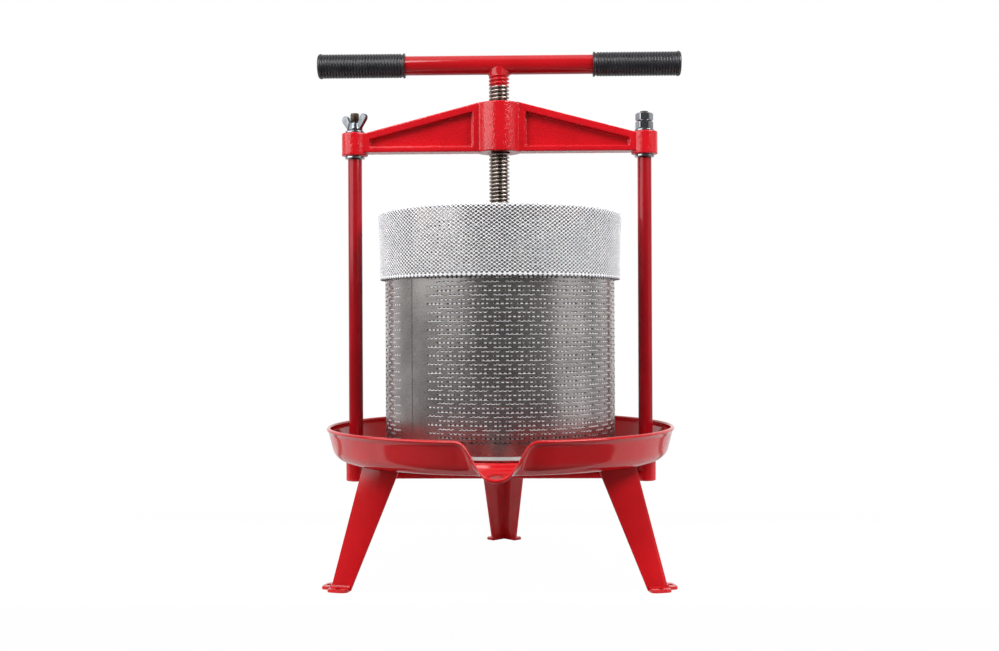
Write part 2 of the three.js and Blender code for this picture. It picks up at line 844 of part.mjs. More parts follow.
function plateHubSolid() {
  const socket = aroundRadius(threadRadius + clearance, roundSides);
  const bore = aroundRadius(retainerRadius + clearance, roundSides);
  const floor = plateHubBottom + plateHubFloor;
  const flangeTop = plateHubBottom + plateHubFlange;
  const top = plateHubBottom + plateHubHeight;
  let hub = turned([
    [bore, plateHubBottom],
    [plateHubFlangeRadius, plateHubBottom],
    [plateHubFlangeRadius, flangeTop],
    [plateHubRadius, flangeTop],
    [plateHubRadius, top],
    [socket, top],
    [socket, floor],
    [bore, floor],
  ], roundSides);
  for (const place of hubScrewPlaces()) hub = hub.subtract(hubScrewHole().translate([place.x, place.y, 0]));
  return hub;
}

// A screw with its head on the hub's flange and its end level with the underside of the disc.
function hubScrewSolid() {
  const headBottom = plateHubBottom + plateHubFlange + clearance;
  return turned([
    [0, plateHeight],
    [hubScrewRadius, plateHeight],
    [hubScrewRadius, headBottom],
    [hubScrewHeadRadius, headBottom],
    [hubScrewHeadRadius, headBottom + hubScrewHead / 2],
    [hubScrewRadius, headBottom + hubScrewHead],
    [0, headBottom + hubScrewHead],
  ], smallSides);
}

function retainerWasherSolid() {
  const top = plateHeight - clearance;
  const bore = aroundRadius(retainerRadius + clearance, smallSides);
  return ring(bore, retainerWasherRadius, top - retainerWasherThickness, top, smallSides);
}

function retainerBoltSolid() {
  const headTop = plateHeight - 2 * clearance - retainerWasherThickness;
  const head = hexPrism(retainerHexRadius, retainerHead).translate([0, 0, headTop - retainerHead]);
  return head.add(rod(retainerRadius, headTop - overrun, screwBottom + retainerEngagement, smallSides));
}

// Basket and strainer bag

// The slots stand in every second flat of the basket's wall, one flat along in every second row.
function basketSolid() {
  let basket = ring(basketRadius - basketSheet, basketRadius, basketBottom, basketTop, basketSides);
  const step = fullTurn / basketSides;
  const firstRow = basketBottom + (basketHeight - (slotRows - 1) * slotRowPitch) / 2;
  const wallMiddle = basketRadius * Math.cos(step / 2);
  for (let row = 0; row < slotRows; row += 1) {
    const height = firstRow + row * slotRowPitch;
    const slot = block(basketSheet + 2 * overrun, slotLength, slotHeight, wallMiddle, 0, height);
    const slots = [];
    for (let flat = row % 2; flat < basketSides; flat += 2) {
      slots.push(slot.rotate([0, 0, (flat + 1 / 2) * step / degree]));
    }
    basket = basket.subtract(wasm.Manifold.union(slots));
  }
  return basket;
}

function strainerBagSolid() {
  const sleeveInside = sleeveRadius - bagSheet;
  const foldUnder = basketTop + clearance;
  const foldTop = foldUnder + bagSheet;
  const skirtInside = bagSkirtRadius - bagSheet;
  const hem = foldTop - bagSkirtLength;
  return turned([
    [0, basketBottom],
    [sleeveRadius, basketBottom],
    [sleeveRadius, foldUnder],
    [skirtInside - bagShoulderRadius, foldUnder],
    [skirtInside, foldUnder - bagShoulderRadius],
    [skirtInside, hem],
    [bagSkirtRadius, hem],
    [bagSkirtRadius, foldTop - bagShoulderRadius],
    [bagSkirtRadius - bagShoulderRadius, foldTop],
    [sleeveInside, foldTop],
    [sleeveInside, basketBottom + bagSheet],
    [0, basketBottom + bagSheet],
  ], basketSides);
}

// Assembly

const press = new THREE.Group();

press.add(pieceMesh('tray', traySolid(), redPaint));
press.add(pieceMesh('base_beam', baseBeamSolid(), redPaint));
for (const [name, azimuth] of Object.entries(legAzimuths)) press.add(legGroup(name, azimuth));

for (const [side, label] of [[-1, 'left'], [1, 'right']]) {
  const column = pieceMesh(`${label}_column`, columnSolid(), redPaint);
  const lowerWasher = pieceMesh(`${label}_lower_washer`, washerSolid(lowerWasherThickness), zinc);
  const upperWasher = pieceMesh(`${label}_upper_washer`, washerSolid(upperWasherThickness), zinc);
  column.position.x = side * columnOffset;
  lowerWasher.position.set(side * columnOffset, 0, lowerWasherBottom);
  upperWasher.position.set(side * columnOffset, 0, upperWasherBottom);
  press.add(column, lowerWasher, upperWasher);
}

press.add(pieceMesh('top_beam', topBeamSolid(), redPaint));

const wingNut = pieceMesh('wing_nut', wingNutSolid(), zinc);
wingNut.position.set(-columnOffset, 0, nutBottom);
wingNut.rotation.z = wingAzimuth;
press.add(wingNut);

for (const [level, label] of [[0, 'lower'], [1, 'upper']]) {
  const nut = pieceMesh(`${label}_jam_nut`, hexNut(jamNutHexRadius, jamNutHeight, studRadius), zinc);
  nut.position.set(columnOffset, 0, nutBottom + level * (jamNutHeight + clearance));
  press.add(nut);
}

press.add(pieceMesh('screw', screwSolid(), brightSteel));

const handle = new THREE.Group();
handle.position.z = handleAxis;
handle.add(pieceMesh('handle_tube', handleTubeSolid(), redPaint));
for (const [side, label] of [[-1, 'left'], [1, 'right']]) {
  const grip = pieceMesh(`${label}_grip`, gripSolid(), blackRubber);
  grip.rotation.y = side * Math.PI / 2;
  grip.position.x = side * (handleLength / 2 - gripLength);
  handle.add(grip);
}
press.add(handle);

press.add(pieceMesh('press_disc', pressDiscSolid(), stainless));
press.add(pieceMesh('plate_hub', plateHubSolid(), redPaint));
hubScrewPlaces().forEach((place, i) => {
  const screw = pieceMesh(`hub_screw_${i + 1}`, hubScrewSolid(), zinc);
  screw.position.set(place.x, place.y, 0);
  press.add(screw);
});
press.add(pieceMesh('retainer_washer', retainerWasherSolid(), zinc));
press.add(pieceMesh('retainer_bolt', retainerBoltSolid(), zinc));

press.add(pieceMesh('basket', basketSolid(), stainless));
press.add(pieceMesh('strainer_bag', strainerBagSolid(), whiteMesh));

export default press;
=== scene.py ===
"""A fruit press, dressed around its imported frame.

Shapes are worked out in millimetres and become metres when their mesh is made.
The origin is on the screw's axis at floor level, and the spout points to -Y.
"""

import json
from math import asin, atan2, ceil, cos, floor, pi, radians, sin, sqrt, tan

import bpy
from mathutils import Matrix, Vector, noise


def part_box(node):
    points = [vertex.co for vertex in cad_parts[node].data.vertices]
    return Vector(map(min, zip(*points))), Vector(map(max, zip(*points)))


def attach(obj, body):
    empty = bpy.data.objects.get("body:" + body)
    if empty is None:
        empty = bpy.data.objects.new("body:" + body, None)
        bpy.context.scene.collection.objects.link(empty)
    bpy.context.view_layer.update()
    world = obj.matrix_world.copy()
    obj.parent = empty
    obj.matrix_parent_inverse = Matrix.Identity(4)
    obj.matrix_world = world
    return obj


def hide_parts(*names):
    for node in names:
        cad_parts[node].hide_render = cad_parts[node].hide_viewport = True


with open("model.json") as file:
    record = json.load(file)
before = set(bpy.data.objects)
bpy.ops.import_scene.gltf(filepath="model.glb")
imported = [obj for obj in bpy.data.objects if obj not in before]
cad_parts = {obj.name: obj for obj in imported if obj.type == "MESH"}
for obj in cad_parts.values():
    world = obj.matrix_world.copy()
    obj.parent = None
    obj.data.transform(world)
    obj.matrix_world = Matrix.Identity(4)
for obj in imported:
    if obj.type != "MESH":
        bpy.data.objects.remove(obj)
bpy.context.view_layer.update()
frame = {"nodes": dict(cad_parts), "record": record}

MM = 0.001
TURN = 2 * pi
GAP = 0.3
THREAD_END_SLOPE = 0.8
NUT_EDGE_WEAR = 0.3
NUT_CHAMFER_SHARE = 0.94
NUT_CHAMFER_ANGLE = radians(30)
NUT_BORE_CHAMFER = 0.8

body_of = {node: body for body, nodes in frame["record"]["behaviour"]["bodies"].items() for node in nodes}


def box_mm(node):
    """A CAD node's lowest and highest corners in millimetres."""
    low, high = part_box(node)
    return low / MM, high / MM


# Camera, level with the basket's middle and a little to the right of the press
CAMERA_DISTANCE = 1284
CAMERA_HEIGHT = 262
CAMERA_AZIMUTH = radians(1.2)
CAMERA_AIM_X = -0.6
CAMERA_ROLL = radians(-0.25)
LENS = 43.2
SENSOR = 36


def make_camera():
    place = Vector((sin(CAMERA_AZIMUTH), -cos(CAMERA_AZIMUTH), 0)) * CAMERA_DISTANCE
    place.z = CAMERA_HEIGHT
    aim = Vector((CAMERA_AIM_X, 0, CAMERA_HEIGHT)) - place
    yaw = Matrix.Rotation(-atan2(aim.x, aim.y), 4, "Z")
    upright = Matrix.Rotation(pi / 2, 4, "X")
    data = bpy.data.cameras.new("camera")
    data.lens = LENS
    data.sensor_width = SENSOR
    data.clip_end = 100
    camera = bpy.data.objects.new("camera", data)
    roll = Matrix.Rotation(CAMERA_ROLL, 4, "Z")
    camera.matrix_world = Matrix.Translation(place * MM) @ yaw @ upright @ roll
    bpy.context.scene.collection.objects.link(camera)
    bpy.context.scene.camera = camera


make_camera()


# Shapes: each is a pair of lists, points in millimetres and faces of point numbers


def joined(*shapes):
    points, faces = [], []
    for more_points, more_faces in shapes:
        first = len(points)
        points += more_points
        faces += [[first + i for i in face] for face in more_faces]
    return points, faces


def moved(shape, x=0, y=0, z=0, turn=0):
    """Turns a shape about Z, then moves it."""
    points, faces = shape
    c, s = cos(turn), sin(turn)
    return [(x + c * px - s * py, y + s * px + c * py, z + pz) for px, py, pz in points], faces


def mirrored(shape, axis):
    """Flips a shape across the plane square to X (axis 0) or Y (axis 1)."""
    points, faces = shape
    signs = [-1 if i == axis else 1 for i in range(3)]
    flipped = [tuple(sign * value for sign, value in zip(signs, point)) for point in points]
    return flipped, [face[::-1] for face in faces]


def along_x(shape):
    """Lays a shape drawn along Z down along X."""
    points, faces = shape
    return [(z, y, -x) for x, y, z in points], faces


def swept(outlines, angles):
    """Stands an outline of (radius, height) pairs at each angle about Z and skins them.

    An outline runs anticlockwise. It either starts and ends on the axis or closes on itself.
    """
    points, rows, poles = [], [], {}
    for outline, angle in zip(outlines, angles):
        row = []
        for place, (radius, height) in enumerate(outline):
            if radius > 0.001:
                row.append(len(points))
                points.append((radius * cos(angle), radius * sin(angle), height))
                continue
            if place not in poles:
                poles[place] = len(points)
                points.append((0, 0, height))
            row.append(poles[place])
        rows.append(row)
    count = len(outlines[0])
    steps = count - 1 if poles else count
    faces = []
    for here, following in zip(rows, rows[1:] + rows[:1]):
        for i in range(steps):
            j = (i + 1) % count
            face = list(dict.fromkeys([here[i], following[i], following[j], here[j]]))
            if len(face) > 2:
                faces.append(face)
    return points, faces


def equal_angles(steps):
    """Angles that share a full turn out equally."""
    return [TURN * step / steps for step in range(steps)]


def turned(outline, steps=64):
    return swept([outline] * steps, equal_angles(steps))


def eased(outline, size, closed=False, steps=3):
    """Rounds each corner of an outline over this distance. Open ends stay where they are."""
    result = []
    for i, corner in enumerate(outline):
        if not closed and i in (0, len(outline) - 1):
            result.append(corner)
            continue
        corner = Vector(corner)
        before = Vector(outline[i - 1]) - corner
        after = Vector(outline[(i + 1) % len(outline)]) - corner
        start = corner + before.normalized() * min(size, before.length * 0.45)
        end = corner + after.normalized() * min(size, after.length * 0.45)
        for step in range(steps + 1):
            t = step / steps
            result.append(tuple(start * (1 - t) ** 2 + corner * 2 * t * (1 - t) + end * t * t))
    return result


def rounded_reach(c, s, power):
    """How far out a rounded outline reaches: power 1 gives a diamond, 2 a circle, more a square."""
    return (abs(c) ** power + abs(s) ** power) ** (-1 / power)


def ring(inner, outer, bottom, top, ease=0.3, steps=64):
    outline = [(inner, bottom), (outer, bottom), (outer, top), (inner, top)]
    return turned(eased(outline, ease, closed=True), steps)


def lofted(rings, closed=False):
    """Skins rings of equally many points. It closes on its first ring, or else has flat ends."""
    count = len(rings[0])
    points = [point for each in rings for point in each]
    last = len(rings) - 1
    faces = []
    for level in range(last + 1 if closed else last):
        a, b = level * count, (level + 1) % len(rings) * count
        for i in range(count):
            j = (i + 1) % count
            faces.append([a + i, a + j, b + j, b + i])
    if not closed:
        faces += [list(range(count))[::-1], list(range(last * count, len(points)))]
    return points, faces


def prism(outline, bottom, top):
    """Raises an anticlockwise outline in X and Y from bottom to top."""
    return lofted([[(x, y, z) for x, y in outline] for z in (bottom, top)])


def prism_along_y(outline, thickness):
    """Raises an anticlockwise outline in X and Z along Y, to both sides of y = 0."""
    return lofted([[(x, y, z) for x, z in outline[::-1]] for y in (thickness / 2, -thickness / 2)])


def rectangle(x0, x1, y0, y1):
    return [(x0, y0), (x1, y0), (x1, y1), (x0, y1)]


def threaded(bottom, top, pitch, profile, steps, taper=0):
    """A right-handed thread. profile holds (share of the pitch, radius) pairs, from one root to the next.

    Past either end it has run out to its root. Each end narrows over its last taper millimetres.
    """
    def limit(level, radius):
        to_end = min(level - bottom, top - level)
        return radius if to_end >= taper else radius - (taper - to_end) * THREAD_END_SLOPE

    root = profile[0][1]
    turns = range(-2, ceil((top - bottom) / pitch) + 3)
    places = [(turn + share, radius) for turn in turns for share, radius in profile]
    count = len(places)
    points = []
    for step, angle in enumerate(equal_angles(steps)):
        for place, radius in places:
            height = bottom + pitch * (place + step / steps)
            reach = radius if bottom < height < top else root
            level = min(max(height, bottom), top)
            reach = min(reach, limit(level, radius))
            points.append((reach * cos(angle), reach * sin(angle), level))
    low_centre = len(points)
    points += [(0, 0, bottom), (0, 0, top)]

    def number(column, i):
        if column < steps:
            return column * count + i
        return min(i + len(profile), count - 1)

    faces = []
    for column in range(steps):
        for i in range(count - 1):
            faces.append([number(column, i), number(column + 1, i),
                          number(column + 1, i + 1), number(column, i + 1)])
        faces.append([low_centre, number(column + 1, 0), number(column, 0)])
        faces.append([low_centre + 1, number(column, count - 1), number(column + 1, count - 1)])
    return points, faces


def hex_nut(across_corners, height, bore, steps=96):
    """A chamfered six-sided nut from z = 0 up, with a corner on the X axis."""
    apothem = across_corners / 2 * cos(pi / 6)
    chamfer = apothem * NUT_CHAMFER_SHARE
    angles = equal_angles(steps)
    outlines = []
    for angle in angles:
        edge = min(apothem / cos(angle % (pi / 3) - pi / 6), across_corners / 2 - NUT_EDGE_WEAR)
        drop = (edge - chamfer) * tan(NUT_CHAMFER_ANGLE)
        lower = [(bore, NUT_BORE_CHAMFER), (bore + NUT_BORE_CHAMFER, 0), (chamfer, 0), (edge - 0.1, drop),
                 (edge, drop + 0.15)]
        outlines.append(lower + [(radius, height - level) for radius, level in lower[::-1]])
    return swept(outlines, angles)


# Meshes


def make_piece(name, shape, sharp=35):
    """A smooth-shaded object at the origin, with edges over this angle kept sharp."""
    points, faces = shape
    mesh = bpy.data.meshes.new(name)
    mesh.from_pydata([(x * MM, y * MM, z * MM) for x, y, z in points], [], faces)
    mesh.validate()
    piece = bpy.data.objects.new(name, mesh)
    bpy.context.scene.collection.objects.link(piece)
    shade(piece, sharp)
    return piece


def shade(piece, sharp):
    piece.data.shade_smooth()
    if sharp:
        piece.data.set_sharp_from_angle(angle=radians(sharp))


def apply_modifiers(piece):
    graph = bpy.context.evaluated_depsgraph_get()
    made = bpy.data.meshes.new_from_object(piece.evaluated_get(graph))
    piece.modifiers.clear()
    old = piece.data
    piece.data = made
    bpy.data.meshes.remove(old)


def fuse(name, shape, voxel, softenings, roughness):
    """Welds overlapping closed shapes into one skin, with rounded edges and a slightly uneven surface."""
    piece = make_piece(name, shape, None)
    remesh = piece.modifiers.new("weld", "REMESH")
    remesh.mode = "VOXEL"
    remesh.voxel_size = voxel * MM
    soften = piece.modifiers.new("soften", "SMOOTH")
    soften.factor = 0.5
    soften.iterations = softenings
    apply_modifiers(piece)
    roughen(piece.data, roughness)
    shade(piece, None)
    return piece


def roughen(mesh, depth):
    """Moves each point in or out by up to about this many millimetres."""
    places = []
    for vertex, normal in zip(mesh.vertices, mesh.vertex_normals):
        place = vertex.co.copy()
        lift = noise.noise(place / (4 * MM)) + noise.noise(place / (1.8 * MM)) / 2
        places.extend(place + normal.vector * lift * depth * MM)
    mesh.vertices.foreach_set("co", places)
    mesh.update()


def dress(piece, slot, *nodes, body=None, material=None):
    """Gives a piece its material, chosen by slot unless one is given, and makes it ride with the nodes that
    it replaces, which it hides.
    """
    piece.data.materials.append(material or finishes[slot])
    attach(piece, body or body_of[nodes[0]])
    if nodes:
        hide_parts(*nodes)
    return piece


# Materials


def srgb(*colour):
    """A colour of 0 to 255 as linear light."""
    parts = [part / 255 for part in colour]
    return [part / 12.92 if part <= 0.04045 else ((part + 0.055) / 1.055) ** 2.4 for part in parts] + [1]


def add_node(tree, kind, values=None, **settings):
    """Adds a node. A value that is a socket is linked, and any other is set."""
    node = tree.nodes.new("ShaderNode" + kind)
    for name, value in settings.items():
        setattr(node, name, value)
    for name, value in (values or {}).items():
        if isinstance(value, bpy.types.NodeSocket):
            tree.links.new(value, node.inputs[name])
        else:
            node.inputs[name].default_value = value
    return node


def calculated(tree, operation, *values):
    return add_node(tree, "Math", dict(enumerate(values)), operation=operation).outputs[0]


def mapped(tree, value, start, end, low=0, high=1):
    """Maps the range from start to end onto the range from low to high."""
    values = {"Value": value, "From Min": start, "From Max": end, "To Min": low, "To Max": high}
    return add_node(tree, "MapRange", values).outputs["Result"]


def mixed(tree, share, first, second, blend_type="MIX"):
    """The first colour, with this share of the second mixed in."""
    values = {0: share, 6: first, 7: second}
    return add_node(tree, "Mix", values, data_type="RGBA", blend_type=blend_type).outputs[2]


def object_place(tree):
    """The place on the object, as a vector and as its X, Y and Z."""
    vector = add_node(tree, "TexCoord").outputs["Object"]
    return vector, add_node(tree, "SeparateXYZ", {"Vector": vector}).outputs


def start_material(name, **sockets):
    """A new material's tree and its shader, with plain numbers set on the shader's sockets."""
    material = bpy.data.materials.new(name)
    material.use_nodes = True
    tree = material.node_tree
    shader = tree.nodes["Principled BSDF"]
    for socket, value in sockets.items():
        shader.inputs[socket.replace("_", " ")].default_value = value
    return material, tree, shader


def link(tree, shader, colour, roughness=None, normal=None):
    for socket, value in (("Base Color", colour), ("Roughness", roughness), ("Normal", normal)):
        if value:
            tree.links.new(value, shader.inputs[socket])


def object_noise(tree, size, detail=2, stretch=(1, 1, 1), roughness=0.5):
    """Noise in object space whose grains are about this many millimetres across."""
    place = add_node(tree, "TexCoord").outputs["Object"]
    vector = add_node(tree, "Mapping", {"Vector": place, "Scale": stretch}).outputs["Vector"]
    values = {"Vector": vector, "Scale": 1 / (size * MM), "Detail": detail, "Roughness": roughness}
    return add_node(tree, "TexNoise", values).outputs["Fac"]


def clouds(tree, size, detail, low, high):
    """Noise that wanders between two colours of 0 to 255."""
    ramp = add_node(tree, "ValToRGB", {"Fac": object_noise(tree, size, detail)})
    first, last = ramp.color_ramp.elements
    first.position, first.color = 0.35, srgb(*low)
    last.position, last.color = 0.65, srgb(*high)
    return ramp.outputs["Color"]


def spread(tree, noise_value, low, high):
    """Stretches the middle of a noise's range to these numbers."""
    return mapped(tree, noise_value, 0.3, 0.7, low, high)


def bump(tree, height, distance, normal=None):
    """Raises the surface by up to this many millimetres."""
    values = {"Height": height, "Distance": distance * MM}
    if normal:
        values["Normal"] = normal
    return add_node(tree, "Bump", values).outputs["Normal"]


def painted(name, low, high, grain, grain_depth, peel_depth, roughness, specular=0.5):
    """Glossy paint over metal, with orange peel and slight changes of tone."""
    material, tree, shader = start_material(name, Specular_IOR_Level=specular)
    gloss = spread(tree, object_noise(tree, 11, 3), roughness, roughness + 0.05)
    grain_normal = bump(tree, object_noise(tree, grain, 3), grain_depth)
    normal = bump(tree, object_noise(tree, 1.1, 2), peel_depth, grain_normal)
    link(tree, shader, clouds(tree, 34, 4, low, high), gloss, normal)
    return material


def metal(name, low, high, roughness, grain, depth, stretch=(1, 1, 1), tone_size=14):
    """Bare or plated metal, with soft clouds of tone and a fine grain."""
    material, tree, shader = start_material(name, Metallic=1.0)
    tone = clouds(tree, tone_size, 4, low, high)
    scratches = object_noise(tree, grain, 5, stretch, 0.65)
    link(tree, shader, tone, spread(tree, scratches, *roughness), bump(tree, scratches, depth))
    return material


RED_LOW = (190, 13, 21)
RED_HIGH = (200, 15, 24)


def screw_material():
    """Bright steel with painted shade darkening the thread's roots, and the handle's red paint over the top
    turns.
    """
    material, tree, shader = start_material("screw_steel")
    vector, axes = object_place(tree)
    uneven = object_noise(tree, 5, 2)
    wander = calculated(tree, "MULTIPLY_ADD", uneven, PAINT_WANDER * MM, axes["Z"])
    paint_edge = box_mm("screw")[1].z - WELD_HEIGHT - PAINTED_THREAD + PAINT_WANDER / 2
    paint = mapped(tree, wander, (paint_edge - PAINT_FADE) * MM, (paint_edge + PAINT_FADE) * MM)
    across = add_node(tree, "VectorMath", {0: vector, 1: (1, 1, 0)}, operation="MULTIPLY").outputs["Vector"]
    radius = add_node(tree, "VectorMath", {0: across}, operation="LENGTH").outputs["Value"]
    # Painted shade: the thread's roots are darkened inside this radius
    outside_root_shade = mapped(tree, radius, ROOT_SHADE_RADIUS * MM, (ROOT_SHADE_RADIUS + 1) * MM)
    crest_tone = clouds(tree, 9, 2, (162, 153, 146), (190, 182, 174))
    steel_tone_and_root_shade = mixed(tree, outside_root_shade, srgb(84, 75, 67), crest_tone)
    tree.links.new(mapped(tree, paint, 0, 1, 1, 0), shader.inputs["Metallic"])
    link(tree, shader, mixed(tree, paint, steel_tone_and_root_shade, srgb(*RED_HIGH)), spread(tree, uneven, 0.2, 0.26),
         bump(tree, object_noise(tree, 2.5, 2), 0.005))
    return material


def rubber_material():
    material, tree, shader = start_material("grip_rubber", Specular_IOR_Level=0.45)
    link(tree, shader, clouds(tree, 9, 4, (28, 28, 32), (42, 41, 46)),
         spread(tree, object_noise(tree, 6, 3), 0.24, 0.34), bump(tree, object_noise(tree, 0.7, 3), 0.05))
    return material


def cloth_material(name, painted_hole_shade):
    """White knitted mesh. Where the mesh isn't cut from the surface, its openings can be darkened with
    painted shade.
    """
    material, tree, shader = start_material(name, Roughness=0.85, Sheen_Weight=0.2)
    tone = clouds(tree, 22, 3, (240, 241, 245), (250, 250, 252))
    axes = object_place(tree)[1]

    def wave(value, pitch):
        return calculated(tree, "COSINE", calculated(tree, "MULTIPLY", value, TURN / pitch))

    across = wave(calculated(tree, "ARCTAN2", axes["Y"], axes["X"]), TURN / BAG_HOLES_ROUND)
    weave = calculated(tree, "MULTIPLY", across, wave(axes["Z"], 2 * BAG_ROW_PITCH * MM))
    # Painted shade: dark dots where the cloth's openings would show the shade behind it
    if painted_hole_shade:
        tone = mixed(tree, mapped(tree, weave, 0.05, 0.2), tone, srgb(92, 88, 90), "MULTIPLY")
    yarn = bump(tree, object_noise(tree, 0.6, 3), 0.12)
    link(tree, shader, tone, normal=bump(tree, weave, 0.15, yarn))
    return material


# Sizes of the screw's top, of the paint on it and of the painted shade in its thread's roots
WELD_HEIGHT = 8.6
PAINTED_THREAD = 10.5
PAINT_WANDER = 12
PAINT_FADE = 0.8
# The radius inside which the thread's roots get painted shade
ROOT_SHADE_RADIUS = 8.9

# Sizes of the bag's mesh
BAG_HOLES_ROUND = 160
BAG_ROW_PITCH = 1.83

finishes = {
    "red_paint": painted("red_paint", RED_LOW, RED_HIGH, 9, 0.012, 0.003, 0.06),
    "cast_red_paint": painted("cast_red_paint", (198, 14, 26), (209, 17, 30), 1.9, 0.34, 0.05, 0.1),
    "zinc": metal("zinc", (140, 145, 151), (168, 172, 176), (0.1, 0.2), 3, 0.02),
    "screw_steel": screw_material(),
    "stainless": metal("stainless", (166, 160, 158), (190, 186, 183), (0.22, 0.34), 2.2, 0.012,
                       (1, 1, 12), 40),
    "grip_rubber": rubber_material(),
    "bag_mesh": cloth_material("bag_mesh", False),
}
# The plain cloth, with painted shade in its openings
plain_cloth_with_painted_shade = cloth_material("bag_mesh_plain", True)
rod_paint = painted("rod_red_paint", (149, 13, 23), (161, 15, 26), 9, 0.02, 0.01, 0.15, 0.3)
handle_paint = painted("handle_red_paint", (174, 12, 20), (184, 14, 23), 9, 0.012, 0.003, 0.1)
forged_zinc = metal("forged_zinc", (90, 94, 99), (124, 128, 132), (0.16, 0.3), 3, 0.04)
dark_thread = metal("dark_thread", (92, 78, 66), (140, 128, 116), (0.3, 0.5), 1.2, 0.04)


# Tray
TRAY_UNDERSIDE = 121.4
TRAY_SHEET = 1.5
TRAY_FLOOR_RADIUS = 162.6
TRAY_FILLET = 15
TRAY_FILLET_STEPS = 12
TRAY_LEAN = radians(14)
TRAY_DEPTH = 32.5
RIM_BEAD_RADIUS = 1.95
RIM_BEAD_STEPS = 14
RIM_BEAD_TURN = 5 / 6
PLATFORM_RADIUS = 128
PLATFORM_RISE = 6
PLATFORM_STEP = 3.5
SPOUT_REACH = 39.8
SPOUT_DROP = 1
SPOUT_HALF_WIDTH = 40
SPOUT_STEPS = 48
TRAY_STEPS = 150
TRAY_FLOOR = TRAY_UNDERSIDE + TRAY_SHEET
PLATFORM_TOP = TRAY_FLOOR + PLATFORM_RISE


def tray_wall_line():
    """The wall's mid-sheet line: a fillet up from the floor, then a leaning wall."""
    middle = TRAY_UNDERSIDE + TRAY_SHEET / 2
    line = []
    for step in range(TRAY_FILLET_STEPS + 1):
        angle = (pi / 2 - TRAY_LEAN) * step / TRAY_FILLET_STEPS
        rise = TRAY_FILLET * (1 - cos(angle))
        line.append(Vector((TRAY_FLOOR_RADIUS + TRAY_FILLET * sin(angle), middle + rise)))
    bend = line[-1]
    rim_height = TRAY_UNDERSIDE + TRAY_DEPTH
    rim = Vector((bend.x + (rim_height - bend.y) * tan(TRAY_LEAN), rim_height))
    return line + [bend.lerp(rim, share) for share in (0.25, 0.5, 0.75, 1)]


def tray_spout_line(wall_line):
    """The same number of points down the spout's middle, from the floor's edge to the lip."""
    middle = TRAY_UNDERSIDE + TRAY_SHEET / 2
    start = Vector((TRAY_FLOOR_RADIUS, middle))
    lip = Vector((TRAY_FLOOR_RADIUS + SPOUT_REACH, middle - SPOUT_DROP))
    lengths = [0]
    for here, following in zip(wall_line, wall_line[1:]):
        lengths.append(lengths[-1] + (following - here).length)
    return [start.lerp(lip, length / lengths[-1]) for length in lengths]


def tray_sheet_outline(line):
    """The sheet's outline from its underside, round the rim's bead, to its upper side."""
    def place(i, sideways, forward):
        along = (line[min(i + 1, len(line) - 1)] - line[max(i - 1, 0)]).normalized()
        up = Vector((-along.y, along.x))
        return line[i] + up * sideways + along * forward

    last = len(line) - 1
    outline = [place(i, -TRAY_SHEET / 2, 0) for i in range(last)]
    for step in range(RIM_BEAD_STEPS + 1):
        angle = TURN * (step / RIM_BEAD_STEPS - 1 / 2) * RIM_BEAD_TURN
        outline.append(place(last, RIM_BEAD_RADIUS * sin(angle), RIM_BEAD_RADIUS * cos(angle)))
    return outline + [place(i, TRAY_SHEET / 2, 0) for i in range(last - 1, -1, -1)]


def spout_share(angle, half_angle):
    """How far the wall is drawn out into the spout: 1 at its middle, falling to 0 at its shoulders."""
    distance = min(abs(angle) / half_angle, 1)
    wave = (1 + cos(pi * distance)) / 2
    steep = wave * wave * (3 - 2 * wave)
    return (wave + steep) / 2


def tray_shape():
    wall_line = tray_wall_line()
    wall = tray_sheet_outline(wall_line)
    spout = tray_sheet_outline(tray_spout_line(wall_line))
    half_angle = asin(SPOUT_HALF_WIDTH / wall_line[-1].x)
    foot = PLATFORM_RADIUS + PLATFORM_STEP
    under = eased([(0, PLATFORM_TOP - TRAY_SHEET), (PLATFORM_RADIUS - 0.5, PLATFORM_TOP - TRAY_SHEET),
                   (foot - 0.5, TRAY_UNDERSIDE), (foot + 6, TRAY_UNDERSIDE)], 2)
    over = eased([(foot + 6, TRAY_FLOOR), (foot, TRAY_FLOOR), (PLATFORM_RADIUS, PLATFORM_TOP),
                  (0, PLATFORM_TOP)], 2)
    angles = [half_angle * (2 * step / SPOUT_STEPS - 1) for step in range(SPOUT_STEPS)]
    rest = TURN - 2 * half_angle
    angles += [half_angle + rest * step / TRAY_STEPS for step in range(TRAY_STEPS)]
    outlines = []
    for angle in angles:
        share = spout_share(angle, half_angle)
        drawn = [tuple(here.lerp(there, share)) for here, there in zip(wall, spout)]
        outlines.append(under + drawn + over)
    return swept(outlines, [angle - pi / 2 for angle in angles])


dress(make_piece("tray_pan", tray_shape(), 50), "red_paint", "tray")


# Columns and their studs
COLUMN_RADIUS = 7.5
STUB_RADIUS = 6
STUD_RADIUS = 5
STUD_LENGTH = 49
STUD_PITCH = 1.5
STUD_ROOT = 4.2
STUD_PROFILE = [(0, STUD_ROOT), (0.2, STUD_ROOT + 0.1), (0.45, STUD_RADIUS - 0.1), (0.5, STUD_RADIUS),
                (0.6, STUD_RADIUS), (0.65, STUD_RADIUS - 0.1)]


def column_shape(x, bottom, top):
    outline = [(0, bottom), (STUB_RADIUS, bottom), (STUB_RADIUS, TRAY_FLOOR + GAP),
               (COLUMN_RADIUS, TRAY_FLOOR + GAP), (COLUMN_RADIUS, top), (STUD_ROOT, top), (0, top)]
    return moved(turned(eased(outline, 1), 64), x)


